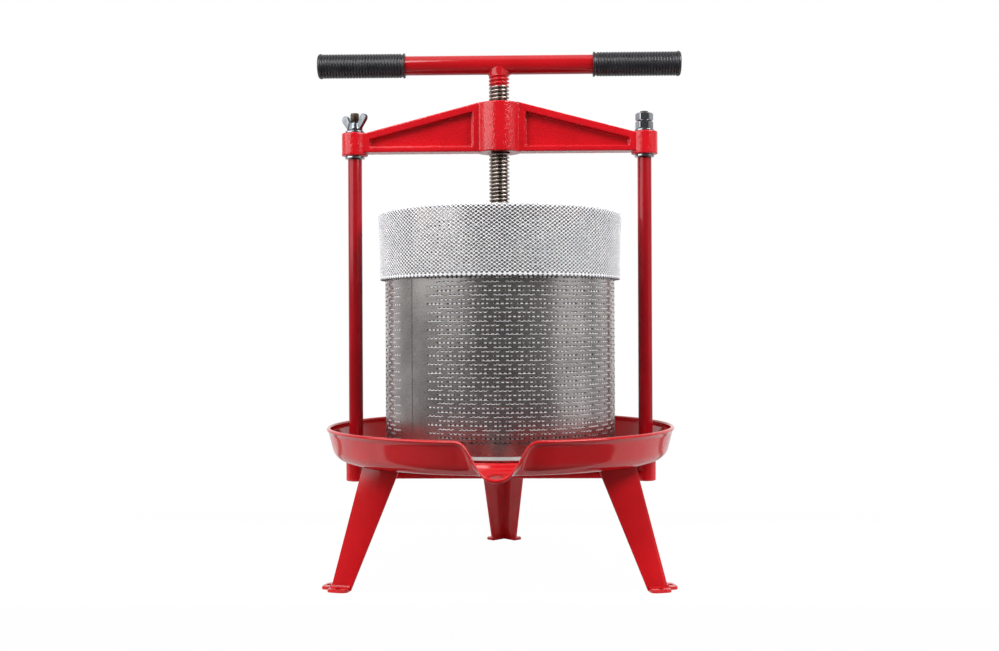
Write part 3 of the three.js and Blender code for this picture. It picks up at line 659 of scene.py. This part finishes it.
column_low, column_high = box_mm("right_column")
column_x = (column_low.x + column_high.x) / 2
column_top = column_high.z - STUD_LENGTH
for side, label in ((-1, "left"), (1, "right")):
    rod = make_piece(f"{label}_column_rod", column_shape(side * column_x, column_low.z, column_top))
    dress(rod, "red_paint", f"{label}_column", material=rod_paint)
    thread = threaded(column_top - 1, column_high.z, STUD_PITCH, STUD_PROFILE, 24, 1)
    thread = moved(thread, side * column_x)
    dress(make_piece(f"{label}_column_stud", thread, 60), "zinc", body="frame", material=dark_thread)


# Washers and nuts on the studs
WASHER_RADIUS = 10.5
STUD_BORE = STUD_RADIUS + GAP
JAM_NUT_CORNERS = 19.62

for label in ("left_lower", "left_upper", "right_lower", "right_upper"):
    low, high = box_mm(label + "_washer")
    shape = moved(ring(STUD_BORE, WASHER_RADIUS, low.z, high.z, 0.4), (low.x + high.x) / 2)
    dress(make_piece(label + "_washer_plate", shape, 50), "zinc", label + "_washer")
for label, turn in (("lower", -0.1), ("upper", -0.04)):
    low, high = box_mm(label + "_jam_nut")
    nut = moved(hex_nut(JAM_NUT_CORNERS, high.z - low.z, STUD_BORE), column_x, 0, low.z, turn)
    dress(make_piece(label + "_jam_nut_hex", nut, 25), "zinc", label + "_jam_nut")


# Wing nut
WING_AZIMUTH = radians(-38)
WING_NUT_RADIUS = 8.5
WING_NUT_NECK = 6.6
WING_NUT_HEIGHT = 9
WING_SPAN = 36
WING_HEIGHT = 18
WING_WIDTH = 8.5
WING_THICKNESS = 4


def wing_shape():
    """One wing along +X, a blade with a round end."""
    half = WING_WIDTH / 2
    root = (WING_NUT_NECK - 0.6, WING_NUT_HEIGHT / 2)
    tip = (WING_SPAN / 2 - half - 0.2, WING_HEIGHT - half - 0.2)
    lean = atan2(tip[1] - root[1], tip[0] - root[0])
    angles = [lean - pi / 2 + pi * step / 12 for step in range(13)]
    blade = [(tip[0] + half * cos(angle), tip[1] + half * sin(angle)) for angle in angles]
    blade += [(root[0], WING_NUT_HEIGHT - 0.5), (root[0], 0.8), (WING_NUT_RADIUS - 0.5, 0.8)]
    return prism_along_y(blade, WING_THICKNESS)


def wing_nut_shape(x, bottom):
    outline = [(STUD_BORE, 0.1), (WING_NUT_RADIUS, 0.1), (WING_NUT_RADIUS, 2.4),
               (WING_NUT_NECK + 0.2, WING_NUT_HEIGHT), (STUD_BORE, WING_NUT_HEIGHT)]
    body = turned(eased(outline, 0.5, closed=True), 48)
    wing = wing_shape()
    return moved(joined(body, wing, mirrored(wing, 0)), x, 0, bottom, WING_AZIMUTH)


wing_nut = fuse("wing_nut_forged", wing_nut_shape(-column_x, box_mm("wing_nut")[0].z), 0.4, 3, 0.03)
dress(wing_nut, "zinc", "wing_nut", material=forged_zinc)


# Top beam
BEAM_RISE = 3.1
HUB_RISE = 2.6
HUB_HEIGHT = 52.5
HUB_RADIUS = 23
HUB_BORE = 11.5
BOSS_RADIUS = 14
BOSS_HEIGHT = 24.2
ARM_THICKNESS = 20.5
ARM_ROOT_HEIGHT = 51.9
ARM_TIP_HEIGHT = 21
ARM_TOP_FLANGE = 8
ARM_BOTTOM_FLANGE = 5.6
ARM_WEB = 6.5
ARM_HUB_RIB = 5.2
ARM_BOSS_RIB = 2.5


def arm_shape(bottom):
    """One arm along +X: a web with a flange all round it on both faces."""
    root, tip = HUB_RADIUS - 4, column_x - BOSS_RADIUS + 4
    slope = (ARM_ROOT_HEIGHT - ARM_TIP_HEIGHT) / (column_x - BOSS_RADIUS - HUB_RADIUS)

    def roof(x):
        return bottom + ARM_ROOT_HEIGHT - slope * (x - HUB_RADIUS)

    def band(x0, x1, thickness, depth=None):
        low0, low1 = [roof(x) - depth if depth else bottom for x in (x0, x1)]
        return prism_along_y([(x0, low0), (x1, low1), (x1, roof(x1)), (x0, roof(x0))], thickness)

    hub_rib_end = HUB_RADIUS + ARM_HUB_RIB
    boss_rib_start = column_x - BOSS_RADIUS - ARM_BOSS_RIB
    foot = prism_along_y(rectangle(root, tip, bottom, bottom + ARM_BOTTOM_FLANGE), ARM_THICKNESS)
    return joined(band(root, tip, ARM_WEB), band(root, tip, ARM_THICKNESS, ARM_TOP_FLANGE), foot,
                  band(root, hub_rib_end, ARM_THICKNESS), band(boss_rib_start, tip, ARM_THICKNESS))


def slotted_boss(bottom, top):
    """A boss whose bore is open to the back, as an outline round a slot."""
    opening = asin(STUD_BORE / BOSS_RADIUS)
    arcs = [(BOSS_RADIUS, pi / 2 + opening + (TURN - 2 * opening) * step / 48) for step in range(49)]
    arcs += [(STUD_BORE, -pi * step / 24) for step in range(25)]
    return prism([(radius * cos(angle), radius * sin(angle)) for radius, angle in arcs], bottom, top)


def top_beam_shape():
    boss_bottom = box_mm("top_beam")[0].z
    boss_top = boss_bottom + BOSS_HEIGHT
    arm = arm_shape(boss_bottom + BEAM_RISE)
    hub = ring(HUB_BORE, HUB_RADIUS, boss_bottom + HUB_RISE, boss_bottom + HUB_RISE + HUB_HEIGHT, 0.5, 96)
    boss = ring(STUD_BORE, BOSS_RADIUS, boss_bottom, boss_top, 0.5)
    return joined(arm, mirrored(arm, 0), hub, moved(boss, column_x),
                  moved(slotted_boss(boss_bottom, boss_top), -column_x))


dress(fuse("top_beam_casting", top_beam_shape(), 0.75, 2, 0.1), "cast_red_paint", "top_beam")


# Base beam
BASE_BEAM_HEIGHT = 22
BASE_BEAM_WIDTH = 20
BASE_BEAM_FLANGE = 6
BASE_BEAM_WEB = 8
BASE_BOSS_RADIUS = 10.75
BASE_BOSS_DROP = 3


def base_beam_shape():
    boss_bottom = box_mm("base_beam")[0].z
    bottom = boss_bottom + BASE_BOSS_DROP
    top = bottom + BASE_BEAM_HEIGHT
    reach = column_x - 4
    web = prism(rectangle(-reach, reach, -BASE_BEAM_WEB / 2, BASE_BEAM_WEB / 2), bottom + 1, top - 1)
    flange = rectangle(-reach, reach, -BASE_BEAM_WIDTH / 2, BASE_BEAM_WIDTH / 2)
    boss = ring(STUB_RADIUS + GAP, BASE_BOSS_RADIUS, boss_bottom, top, 0.5)
    return joined(web, prism(flange, bottom, bottom + BASE_BEAM_FLANGE),
                  prism(flange, top - BASE_BEAM_FLANGE, top), moved(boss, column_x), moved(boss, -column_x))


dress(fuse("base_beam_casting", base_beam_shape(), 1, 2, 0.1), "cast_red_paint", "base_beam")


# Legs, drawn with the fold on +X
LEG_AZIMUTHS = {"back": radians(90), "left": radians(210), "right": radians(330)}
LEG_TOP = TRAY_UNDERSIDE - GAP
LEG_TOP_RADIUS = 158.84
LEG_FOOT_RADIUS = 193.74
LEG_SHEET = 3
LEG_TOP_FLANGE = 40.5
LEG_FOOT_FLANGE = 21.5
LEG_FOLD = radians(45)
FOOT_TAB_DEPTH = 11.3
FOOT_TAB_EDGE = 0.7
FOOT_HOLE_RADIUS = 2.75


def leg_section(fold_radius, flange, height):
    """A level cut through the folded sheet."""
    back, aside = cos(LEG_FOLD), sin(LEG_FOLD)
    inside_fold = fold_radius - LEG_SHEET / aside
    end = (fold_radius - flange * back, flange * aside)
    inner = (end[0] - LEG_SHEET * aside, end[1] - LEG_SHEET * back)
    corners = [(fold_radius, 0), end, inner, (inside_fold, 0), (inner[0], -inner[1]), (end[0], -end[1])]
    rounded = eased(corners, 0.9, closed=True, steps=2)
    return [(x, y, height) for x, y in rounded]


def foot_tab():
    """A tab that turns out along the floor, drawn with the flange along X and the floor towards +Y."""
    middle = Vector((LEG_FOOT_FLANGE / 2, FOOT_TAB_DEPTH / 2))
    half = Vector((LEG_FOOT_FLANGE / 2, FOOT_TAB_DEPTH / 2 + LEG_SHEET / 2))
    outer, eased_outer, inner = [], [], []
    for angle in equal_angles(48):
        c, s = cos(angle), sin(angle)
        reach = rounded_reach(c, s, 3.2)
        for edge, inset in ((outer, 0), (eased_outer, FOOT_TAB_EDGE)):
            edge.append((middle.x + (half.x - inset) * reach * c,
                         middle.y - LEG_SHEET / 2 + (half.y - inset) * reach * s))
        inner.append((middle.x + FOOT_HOLE_RADIUS * c, middle.y + FOOT_HOLE_RADIUS * s))
    levels = ((outer, 0), (outer, LEG_SHEET - FOOT_TAB_EDGE), (eased_outer, LEG_SHEET),
              (inner, LEG_SHEET), (inner, 0))
    return lofted([[(x, y, z) for x, y in outline] for outline, z in levels], closed=True)


def leg_shape():
    edge = LEG_TOP_RADIUS - LEG_TOP_FLANGE * cos(LEG_FOLD)
    aside = LEG_TOP_FLANGE * sin(LEG_FOLD)
    flanges = lofted([leg_section(LEG_FOOT_RADIUS, LEG_FOOT_FLANGE, 0),
                      leg_section(LEG_TOP_RADIUS, LEG_TOP_FLANGE, LEG_TOP)])
    top = prism([(LEG_TOP_RADIUS - 1, 0), (edge, aside), (edge - LEG_SHEET, aside - LEG_SHEET),
                 (edge - LEG_SHEET, LEG_SHEET - aside), (edge, -aside)], LEG_TOP - LEG_SHEET, LEG_TOP)
    bend = [(-1, 1.5), (3, 1.5), (3, 3), (1.4, 3.2), (0.5, 3.8), (0, 5.2), (-1, 5.2)]
    fillet = lofted([[(x, y, z) for y, z in bend] for x in (1, LEG_FOOT_FLANGE - 0.6)])
    tab = joined(foot_tab(), fillet)
    placed = moved(tab, LEG_FOOT_RADIUS, 0, 0, pi + LEG_FOLD)
    return joined(flanges, top, placed, mirrored(placed, 1))


for label, azimuth in LEG_AZIMUTHS.items():
    leg = make_piece(f"leg_{label}_sheet", moved(leg_shape(), turn=azimuth))
    dress(leg, "red_paint", f"leg_{label}")


# Screw, weld, handle and grips
SCREW_PITCH = 4
HANDLE_RADIUS = 10.2
HANDLE_WALL = 2
SCREW_RADIUS = 11
SCREW_PROFILE = [(0, 8.7), (0.12, 8.8), (0.22, 9.6), (0.3, 10.6), (0.37, 10.92), (0.5, SCREW_RADIUS),
                 (0.63, 10.92), (0.7, 10.6), (0.78, 9.6), (0.88, 8.8)]
WELD_NECK = 10.3
WELD_RADIUS = 13.4
WELD_OVERLAP = 0.4
GRIP_LENGTH = 93.6
GRIP_RADIUS = 12.8
GRIP_FLANGE_RADIUS = 13.3
GRIP_END_WALL = 3
GRIP_RIBS = 27
GRIP_RIB_PITCH = 3.13
GRIP_RIB_START = 3.9
GRIP_RIB_DEPTH = 0.75

screw_low, screw_high = box_mm("screw")
weld_bottom = screw_high.z - WELD_HEIGHT
handle_low, handle_high = box_mm("handle_tube")
handle_axis = (handle_low.z + handle_high.z) / 2


def weld_shape():
    """A bead that flares from the screw's end up round the underside of the handle."""
    steps, rings = 72, 12
    points = []
    for angle in equal_angles(steps):
        for level in range(rings + 1):
            t = level / rings
            flare = t ** 1.6
            wide = WELD_NECK + (WELD_RADIUS - WELD_NECK) * flare
            deep = WELD_NECK + (HANDLE_RADIUS - WELD_OVERLAP - WELD_NECK) * flare
            ripple = 0.35 * noise.noise(Vector((3 * cos(angle), 3 * sin(angle), 2.5 * t)))
            x, y = (wide + ripple) * cos(angle), (deep + ripple * (1 - t)) * sin(angle)
            ceiling = handle_axis - sqrt(max(HANDLE_RADIUS ** 2 - y * y, 0)) + WELD_OVERLAP
            points.append((x, y, weld_bottom + (ceiling - weld_bottom) * t))
    count = rings + 1
    faces = []
    for step in range(steps):
        a, b = step * count, (step + 1) % steps * count
        faces += [[a + i, b + i, b + i + 1, a + i + 1] for i in range(rings)]
    faces.append([step * count for step in range(steps)][::-1])
    centre = len(points)
    points.append((0, 0, handle_axis - HANDLE_RADIUS + WELD_OVERLAP))
    for step in range(steps):
        faces.append([step * count + rings, (step + 1) % steps * count + rings, centre])
    return points, faces


def grip_shape():
    """A grip drawn along Z, from its open flanged end at z = 0 to its closed end."""
    bore = HANDLE_RADIUS + GAP
    flange = GRIP_FLANGE_RADIUS
    end_inside = GRIP_LENGTH - GRIP_END_WALL
    outline = [(0, end_inside), (bore, end_inside), (bore, 0.4), (bore + 0.5, 0), (flange - 0.7, 0),
               (flange - 0.1, 0.5), (flange, 1.2), (flange - 0.2, 2), (GRIP_RADIUS - 0.9, 2.7),
               (GRIP_RADIUS - 0.9, GRIP_RIB_START - 0.4)]
    rib = [(0, 1), (0.14, 0.35), (0.28, 0.06), (0.5, 0), (0.72, 0.06), (0.86, 0.35)]
    for number in range(GRIP_RIBS):
        for share, depth in rib:
            height = GRIP_RIB_START + GRIP_RIB_PITCH * (number + share)
            outline.append((GRIP_RADIUS - GRIP_RIB_DEPTH * depth, height))
    outline += [(GRIP_RADIUS - GRIP_RIB_DEPTH, 88.5), (GRIP_RADIUS, 89), (flange - 0.1, 89.8), (flange, 91),
                (flange - 0.4, 92.3), (flange - 1.6, 93.3), (flange - 4, GRIP_LENGTH), (0, GRIP_LENGTH)]
    return turned(outline, 48)


thread = threaded(screw_low.z, weld_bottom + 1, SCREW_PITCH, SCREW_PROFILE, 56)
dress(make_piece("screw_thread", thread, 70), "screw_steel", "screw")
dress(make_piece("handle_weld", weld_shape(), 60), "red_paint", body="screw", material=handle_paint)
tube_half = (handle_high.x - handle_low.x) / 2
tube = along_x(ring(HANDLE_RADIUS - HANDLE_WALL, HANDLE_RADIUS, -tube_half, tube_half, 0.3, 72))
handle_bar = make_piece("handle_bar", moved(tube, z=handle_axis))
dress(handle_bar, "red_paint", "handle_tube", material=handle_paint)
right_grip = along_x(grip_shape())
for label, grip, inner_end in (("left", mirrored(right_grip, 0), box_mm("left_grip")[1].x),
                               ("right", right_grip, box_mm("right_grip")[0].x)):
    piece = make_piece(label + "_grip_ribbed", moved(grip, inner_end, 0, handle_axis), 60)
    dress(piece, "grip_rubber", label + "_grip")


# Press plate
PLATE_RADIUS = 113
PLATE_HUB_RADIUS = 24
PLATE_HUB_FLANGE_RADIUS = 37
PLATE_HUB_FLANGE = 5
PLATE_HUB_FLOOR = 4
RETAINER_BORE = 4.3

disc_low, disc_high = box_mm("press_disc")
hub_low, hub_high = box_mm("plate_hub")
disc = ring(RETAINER_BORE, PLATE_RADIUS, disc_low.z, disc_high.z, 0.6, 128)
dress(make_piece("press_disc_plate", disc, 50), "stainless", "press_disc")
socket = SCREW_RADIUS + GAP
flange_top = hub_low.z + PLATE_HUB_FLANGE
socket_floor = hub_low.z + PLATE_HUB_FLOOR
plate_hub = turned(eased([
    (RETAINER_BORE, hub_low.z), (PLATE_HUB_FLANGE_RADIUS, hub_low.z), (PLATE_HUB_FLANGE_RADIUS, flange_top),
    (PLATE_HUB_RADIUS, flange_top), (PLATE_HUB_RADIUS, hub_high.z), (socket, hub_high.z),
    (socket, socket_floor), (RETAINER_BORE, socket_floor),
], 1, closed=True), 96)
dress(make_piece("plate_hub_turned", plate_hub, 50), "stainless", "plate_hub")


# Basket
BASKET_RADIUS = 122.1
BASKET_SHEET = 0.9
BASKET_PLAIN_BAND = radians(17.5)
BASKET_SEAM = radians(225)
SEAM_HALF_WIDTH = 0.6
SEAM_DEPTH = 0.5
SLOTS_ROUND = 31
SLOT_ROW_PITCH = 4.25
SLOT_LENGTH = 19.5
SLOT_HEIGHT = 1.75
SLOT_ROWS = 52
FIRST_SLOT_ROW = 18.5
BASKET_TOP_BAND = 6
# The flare near the basket's lower edge: the height over that edge, and how far it stands out.
BASKET_FOOT = [(0, 0), (1.8, 0.2), (2.1, 2.8), (5.2, 0), (8, 0)]

basket_low, basket_high = box_mm("basket")


def basket_angles(pitch):
    """Where the columns of points stand: four to a slot all round, and eight in the plain band."""
    band_start = BASKET_SEAM - BASKET_PLAIN_BAND / 2
    seam_half = SEAM_HALF_WIDTH / BASKET_RADIUS
    angles = [band_start + BASKET_PLAIN_BAND + pitch * i / 4 for i in range(4 * SLOTS_ROUND)]
    plain = [band_start + BASKET_PLAIN_BAND * share for share in (0, 0.2, 0.4, 0.6, 0.8)]
    return angles + plain[:3] + [BASKET_SEAM - seam_half, BASKET_SEAM, BASKET_SEAM + seam_half] + plain[3:]


def basket_levels():
    """The height of each row of points, and how far the wall stands out there."""
    first = basket_low.z + FIRST_SLOT_ROW - SLOT_ROW_PITCH / 2
    levels = [(basket_low.z + rise, out) for rise, out in BASKET_FOOT]
    levels += [(first + SLOT_ROW_PITCH * row, 0) for row in range(SLOT_ROWS + 1)]
    return levels + [(basket_high.z - BASKET_TOP_BAND, 0), (basket_high.z, 0)]


def slot_outline():
    """Twelve points round a slot with pointed ends: the angle along it and the share of half its height."""
    half = SLOT_LENGTH / 2 / BASKET_RADIUS
    straight = half - SLOT_HEIGHT / 2 / BASKET_RADIUS
    lower = [(-straight, -1), (-half / 2, -1), (0, -1), (half / 2, -1), (straight, -1), (half, 0)]
    return lower + [(-along, -up) for along, up in lower]


def basket_shape():
    """The perforated sheet: staggered rows of slots, with a plain band along the seam.

    Each cell of a row is bordered by twelve points, so that it meets the half-offset cells above and below.
    """
    pitch = (TURN - BASKET_PLAIN_BAND) / SLOTS_ROUND
    angles = basket_angles(pitch)
    levels = basket_levels()
    points, faces = [], []

    def at(angle, height, out=0):
        radius = BASKET_RADIUS + out - (SEAM_DEPTH if angle == BASKET_SEAM else 0)
        points.append((radius * cos(angle), radius * sin(angle), height))
        return len(points) - 1

    grid = [[at(angle, *level) for angle in angles] for level in levels]
    for number, (low, high) in enumerate(zip(grid, grid[1:])):
        row = number - len(BASKET_FOOT)
        middle = (levels[number][0] + levels[number + 1][0]) / 2
        edges = []
        if 0 <= row < SLOT_ROWS:
            start = 2 * (row % 2)
            edges = list(range(start, start + 4 * (SLOTS_ROUND - row % 2) + 1, 4))
        sides = {column: at(angles[column], middle) for column in edges}
        for left, right in zip(edges, edges[1:]):
            border = low[left:right + 1] + [sides[right]] + high[left:right + 1][::-1] + [sides[left]]
            centre = angles[left] + pitch / 2
            slot = [at(centre + along, middle + up * SLOT_HEIGHT / 2) for along, up in slot_outline()]
            for i in range(12):
                j = (i + 1) % 12
                faces.append([border[i], border[j], slot[j], slot[i]])
        for i in range(len(angles)):
            if edges and edges[0] <= i < edges[-1]:
                continue
            j = (i + 1) % len(angles)
            face = [low[i], low[j], sides.get(j), high[j], high[i], sides.get(i)]
            faces.append([point for point in face if point is not None])
    return points, faces


def thicken(piece, thickness, offset):
    solid = piece.modifiers.new("thickness", "SOLIDIFY")
    solid.thickness = thickness * MM
    solid.offset = offset
    apply_modifiers(piece)


basket = make_piece("basket_wall", basket_shape(), None)
thicken(basket, BASKET_SHEET, -1)
shade(basket, 35)
dress(basket, "stainless", "basket")


# Strainer bag
BAG_SHEET = 0.8
BAG_SKIRT_RADIUS = 127.3
BAG_SHOULDER_RADIUS = 129.6
BAG_SKIRT_LENGTH = 70
BAG_HEM = 1.6
BAG_SHOULDER = 5
BAG_SLEEVE_RADIUS = 120.75
BAG_HOLE_SHARE = 0.74
# How far along the cloth from its lower edge the openings end, and where it folds over the rim
BAG_MESH_END = 82
BAG_FOLD = 72

bag_low, bag_high = box_mm("strainer_bag")


def bag_path():
    """The cloth's line from the hem up, over the basket's rim, down its inside and across its floor."""
    hem = bag_high.z - BAG_SKIRT_LENGTH
    top = bag_high.z - BAG_SHEET / 2
    bottom = bag_low.z + 0.5
    skirt = [(BAG_SKIRT_RADIUS, hem), (BAG_SKIRT_RADIUS + 0.1, top - 45), (BAG_SKIRT_RADIUS + 0.9, top - 22)]
    rim = (BASKET_RADIUS - BASKET_SHEET / 2, top)
    sleeve = (BAG_SLEEVE_RADIUS, top - 30)
    path = skirt + eased([skirt[-1], (BAG_SHOULDER_RADIUS, top), rim], BAG_SHOULDER, steps=6)[1:-1]
    path += eased([rim, (BAG_SLEEVE_RADIUS, top), sleeve], 1.2, steps=4)[1:-1]
    path += eased([sleeve, (BAG_SLEEVE_RADIUS, bottom), (0, bottom)], 4, steps=5)[1:]
    return [Vector(point) for point in path]


def along_path(path, distance):
    for here, following in zip(path, path[1:]):
        length = (following - here).length
        if distance <= length:
            return here.lerp(following, distance / length)
        distance -= length
    return path[-1].copy()


def bag_ripple(angle, distance):
    """How far the hanging cloth waves in and out, most at its hem."""
    fade = max(0, 1 - distance / BAG_SKIRT_LENGTH)
    return (0.35 * sin(5 * angle + 0.6) + 0.22 * sin(11 * angle + 2.1) + 0.12 * sin(23 * angle)) * fade


def bag_shapes():
    """The net, whose openings are cut through, and the plain cloth of the hem, sleeve and floor.

    The net's strands cross at every second point of a grid, and an opening stands round each point between.
    Along the fold over the basket's rim the openings are drawn shut.
    """
    path = bag_path()
    columns = 2 * BAG_HOLES_ROUND
    levels = floor((BAG_MESH_END - BAG_HEM) / BAG_ROW_PITCH)
    points, net_faces, plain_faces = [], [], []

    def at(column, distance):
        angle = TURN * column / columns
        place = along_path(path, distance)
        radius = place.x + bag_ripple(angle, distance)
        points.append((radius * cos(angle), radius * sin(angle), place.y))
        return len(points) - 1

    def whole_row(distance):
        return [at(column, distance) for column in range(columns)]

    def add_plain(rows):
        for low, high in zip(rows, rows[1:]):
            for i in range(columns):
                j = (i + 1) % columns
                plain_faces.append([low[i], low[j], high[j], high[i]])

    def along_net(level):
        return BAG_HEM + BAG_ROW_PITCH * level

    def add_opening(level, column, corners):
        opening = []
        for angle in equal_angles(8):
            c, s = cos(angle), sin(angle)
            reach = BAG_HOLE_SHARE * rounded_reach(c, s, 1.25)
            opening.append(at(column + reach * c, along_net(level + reach * s)))
        for side in range(4):
            inner = [opening[(2 * side + i) % 8] for i in (2, 1, 0)]
            net_faces.append([corners[side], corners[(side + 1) % 4]] + inner)

    hem = [whole_row(distance) for distance in (0, BAG_HEM / 2, BAG_HEM)]
    add_plain(hem)
    net_top = whole_row(along_net(levels))
    crossings = [hem[-1]]
    for level in range(1, levels):
        crossings.append([at(column, along_net(level)) if (column + level) % 2 == 0 else None
                          for column in range(columns)])
    crossings.append(net_top)
    for level in range(levels + 1):
        shut = level in (0, levels) or abs(along_net(level) - BAG_FOLD) < BAG_ROW_PITCH
        for column in range(1 - level % 2, columns, 2):
            left, right = crossings[level][column - 1], crossings[level][(column + 1) % columns]
            below, above = crossings[max(level - 1, 0)][column], crossings[min(level + 1, levels)][column]
            if shut:
                net_faces.append([left, below, right, above])
            else:
                add_opening(level, column, [right, above, left, below])

    whole = sum((following - here).length for here, following in zip(path, path[1:]))
    net_end = along_net(levels)
    to_floor = whole - BAG_SLEEVE_RADIUS + 6
    stops = [net_end + (to_floor - net_end) * step / 8 for step in range(1, 9)]
    stops += [to_floor + (whole - to_floor) * share for share in (0.06, 0.2, 0.5, 0.8)]
    rows = [net_top] + [whole_row(stop) for stop in stops]
    add_plain(rows)
    centre = len(points)
    points.append((0, 0, path[-1].y))
    for i in range(columns):
        plain_faces.append([rows[-1][i], rows[-1][(i + 1) % columns], centre])
    return points, net_faces, plain_faces


def make_bag():
    points, net_faces, plain_faces = bag_shapes()
    bag = make_piece("strainer_bag_cloth", (points, net_faces + plain_faces), None)
    dress(bag, "bag_mesh", "strainer_bag")
    # The plain cloth's faces get the material with painted shade in its openings
    bag.data.materials.append(plain_cloth_with_painted_shade)
    for polygon in bag.data.polygons:
        polygon.material_index = 0 if polygon.index < len(net_faces) else 1
    thicken(bag, BAG_SHEET, 0)
    shade(bag, None)
    return bag


bag = make_bag()


# Small parts that keep their CAD meshes
for node, piece in frame["nodes"].items():
    if piece.hide_render:
        continue
    finish = "zinc" if node.startswith(("leg_", "hub_screw", "retainer")) else "stainless"
    for material_slot in piece.material_slots:
        material_slot.material = finishes[finish]


# Lamps: azimuth from straight in front to the right and elevation in degrees, distance, width and height in
# metres, and radiance
SOFTBOXES = {
    "left_softbox": (-62, 26, 1.5, 1.6, 1.05, 3.1),
    "right_softbox": (58, 36, 1.6, 1.0, 0.6, 11),
    "front_softbox": (-30, 44, 1.6, 0.6, 0.7, 7.5),
    "top_softbox": (0, 82, 1.6, 1.1, 1.1, 0.9),
    "right_reflector": (72, 6, 1.6, 1.1, 0.9, 0.5),
}
LAMP_AIM = Vector((0, 0, 0.3))


def make_softbox(name, azimuth, elevation, distance, width, height, radiance):
    """A large soft lamp that faces the press."""
    data = bpy.data.lights.new(name, "AREA")
    data.shape = "RECTANGLE"
    data.size, data.size_y = width, height
    data.energy = radiance * pi * width * height
    lamp = bpy.data.objects.new(name, data)
    across = cos(elevation)
    place = Vector((sin(azimuth) * across, -cos(azimuth) * across, sin(elevation))) * distance
    facing = (-place).to_track_quat("-Z", "Y").to_matrix().to_4x4()
    lamp.matrix_world = Matrix.Translation(place + LAMP_AIM) @ facing
    bpy.context.scene.collection.objects.link(lamp)


for name, (azimuth, elevation, *sizes) in SOFTBOXES.items():
    make_softbox(name, radians(azimuth), radians(elevation), *sizes)


# World and floor: places along Y, each with its grey
STUDIO_GREYS = [(-1, 0.12), (-0.6, 0.22), (0, 0.27), (0.32, 0.42), (0.6, 1.0)]
TABLE_GREYS = [(-0.17, 0.1), (-0.155, 0.8), (0.3, 0.8), (0.31, 0.12), (0.42, 0.12), (0.44, 0.8)]
FLOOR_HALF = 6000
FLOOR_DROP = 0.2


def greys(tree, place, reach, levels):
    """A grey that changes with a place between -reach and reach."""
    ramp = add_node(tree, "ValToRGB", {"Fac": mapped(tree, place, -reach, reach)})
    stops = ramp.color_ramp.elements
    while len(stops) < len(levels):
        stops.new(0.5)
    for stop, (position, level) in zip(stops, levels):
        stop.position, stop.color = (position / reach + 1) / 2, (level, level, level, 1)
    return ramp.outputs["Color"]


def make_world():
    """White for the camera. All else sees a studio, dark behind the camera and white behind the press."""
    world = bpy.data.worlds.new("studio")
    bpy.context.scene.world = world
    world.use_nodes = True
    tree = world.node_tree
    tree.nodes.clear()
    direction = add_node(tree, "TexCoord").outputs["Generated"]
    depth = add_node(tree, "SeparateXYZ", {"Vector": direction}).outputs["Y"]
    studio = add_node(tree, "Background", {"Color": greys(tree, depth, 1, STUDIO_GREYS)})
    white = add_node(tree, "Background", {"Color": (1, 1, 1, 1)})
    seen = add_node(tree, "LightPath").outputs["Is Camera Ray"]
    mix = add_node(tree, "MixShader", {0: seen, 1: studio.outputs[0], 2: white.outputs[0]})
    add_node(tree, "OutputWorld", {"Surface": mix.outputs[0]})


def make_floor():
    """A pale floor that looks white to the camera and keeps a faint shadow near the press.

    For the rest of the scene it is a white table top, with dark ground in front and a dark band behind.
    """
    corners = [(x, y, -FLOOR_DROP) for x, y in rectangle(-FLOOR_HALF, FLOOR_HALF, -FLOOR_HALF, FLOOR_HALF)]
    floor_piece = make_piece("floor", (corners, [[0, 1, 2, 3]]))
    material, tree, shader = start_material("floor", Roughness=0.3)
    vector, axes = object_place(tree)
    link(tree, shader, greys(tree, axes["Y"], 0.5, TABLE_GREYS))
    distance = add_node(tree, "VectorMath", {0: vector}, operation="LENGTH").outputs["Value"]
    seen = add_node(tree, "LightPath").outputs["Is Camera Ray"]
    share = calculated(tree, "MULTIPLY", seen, mapped(tree, distance, 0.25, 0.9, 0.985, 1))
    glow = add_node(tree, "Emission", {"Color": (1, 1, 1, 1)})
    mix = add_node(tree, "MixShader", {0: share, 1: shader.outputs[0], 2: glow.outputs[0]})
    tree.links.new(mix.outputs[0], tree.nodes["Material Output"].inputs["Surface"])
    floor_piece.data.materials.append(material)


make_world()
make_floor()
bpy.context.scene.view_settings.view_transform = "Standard"
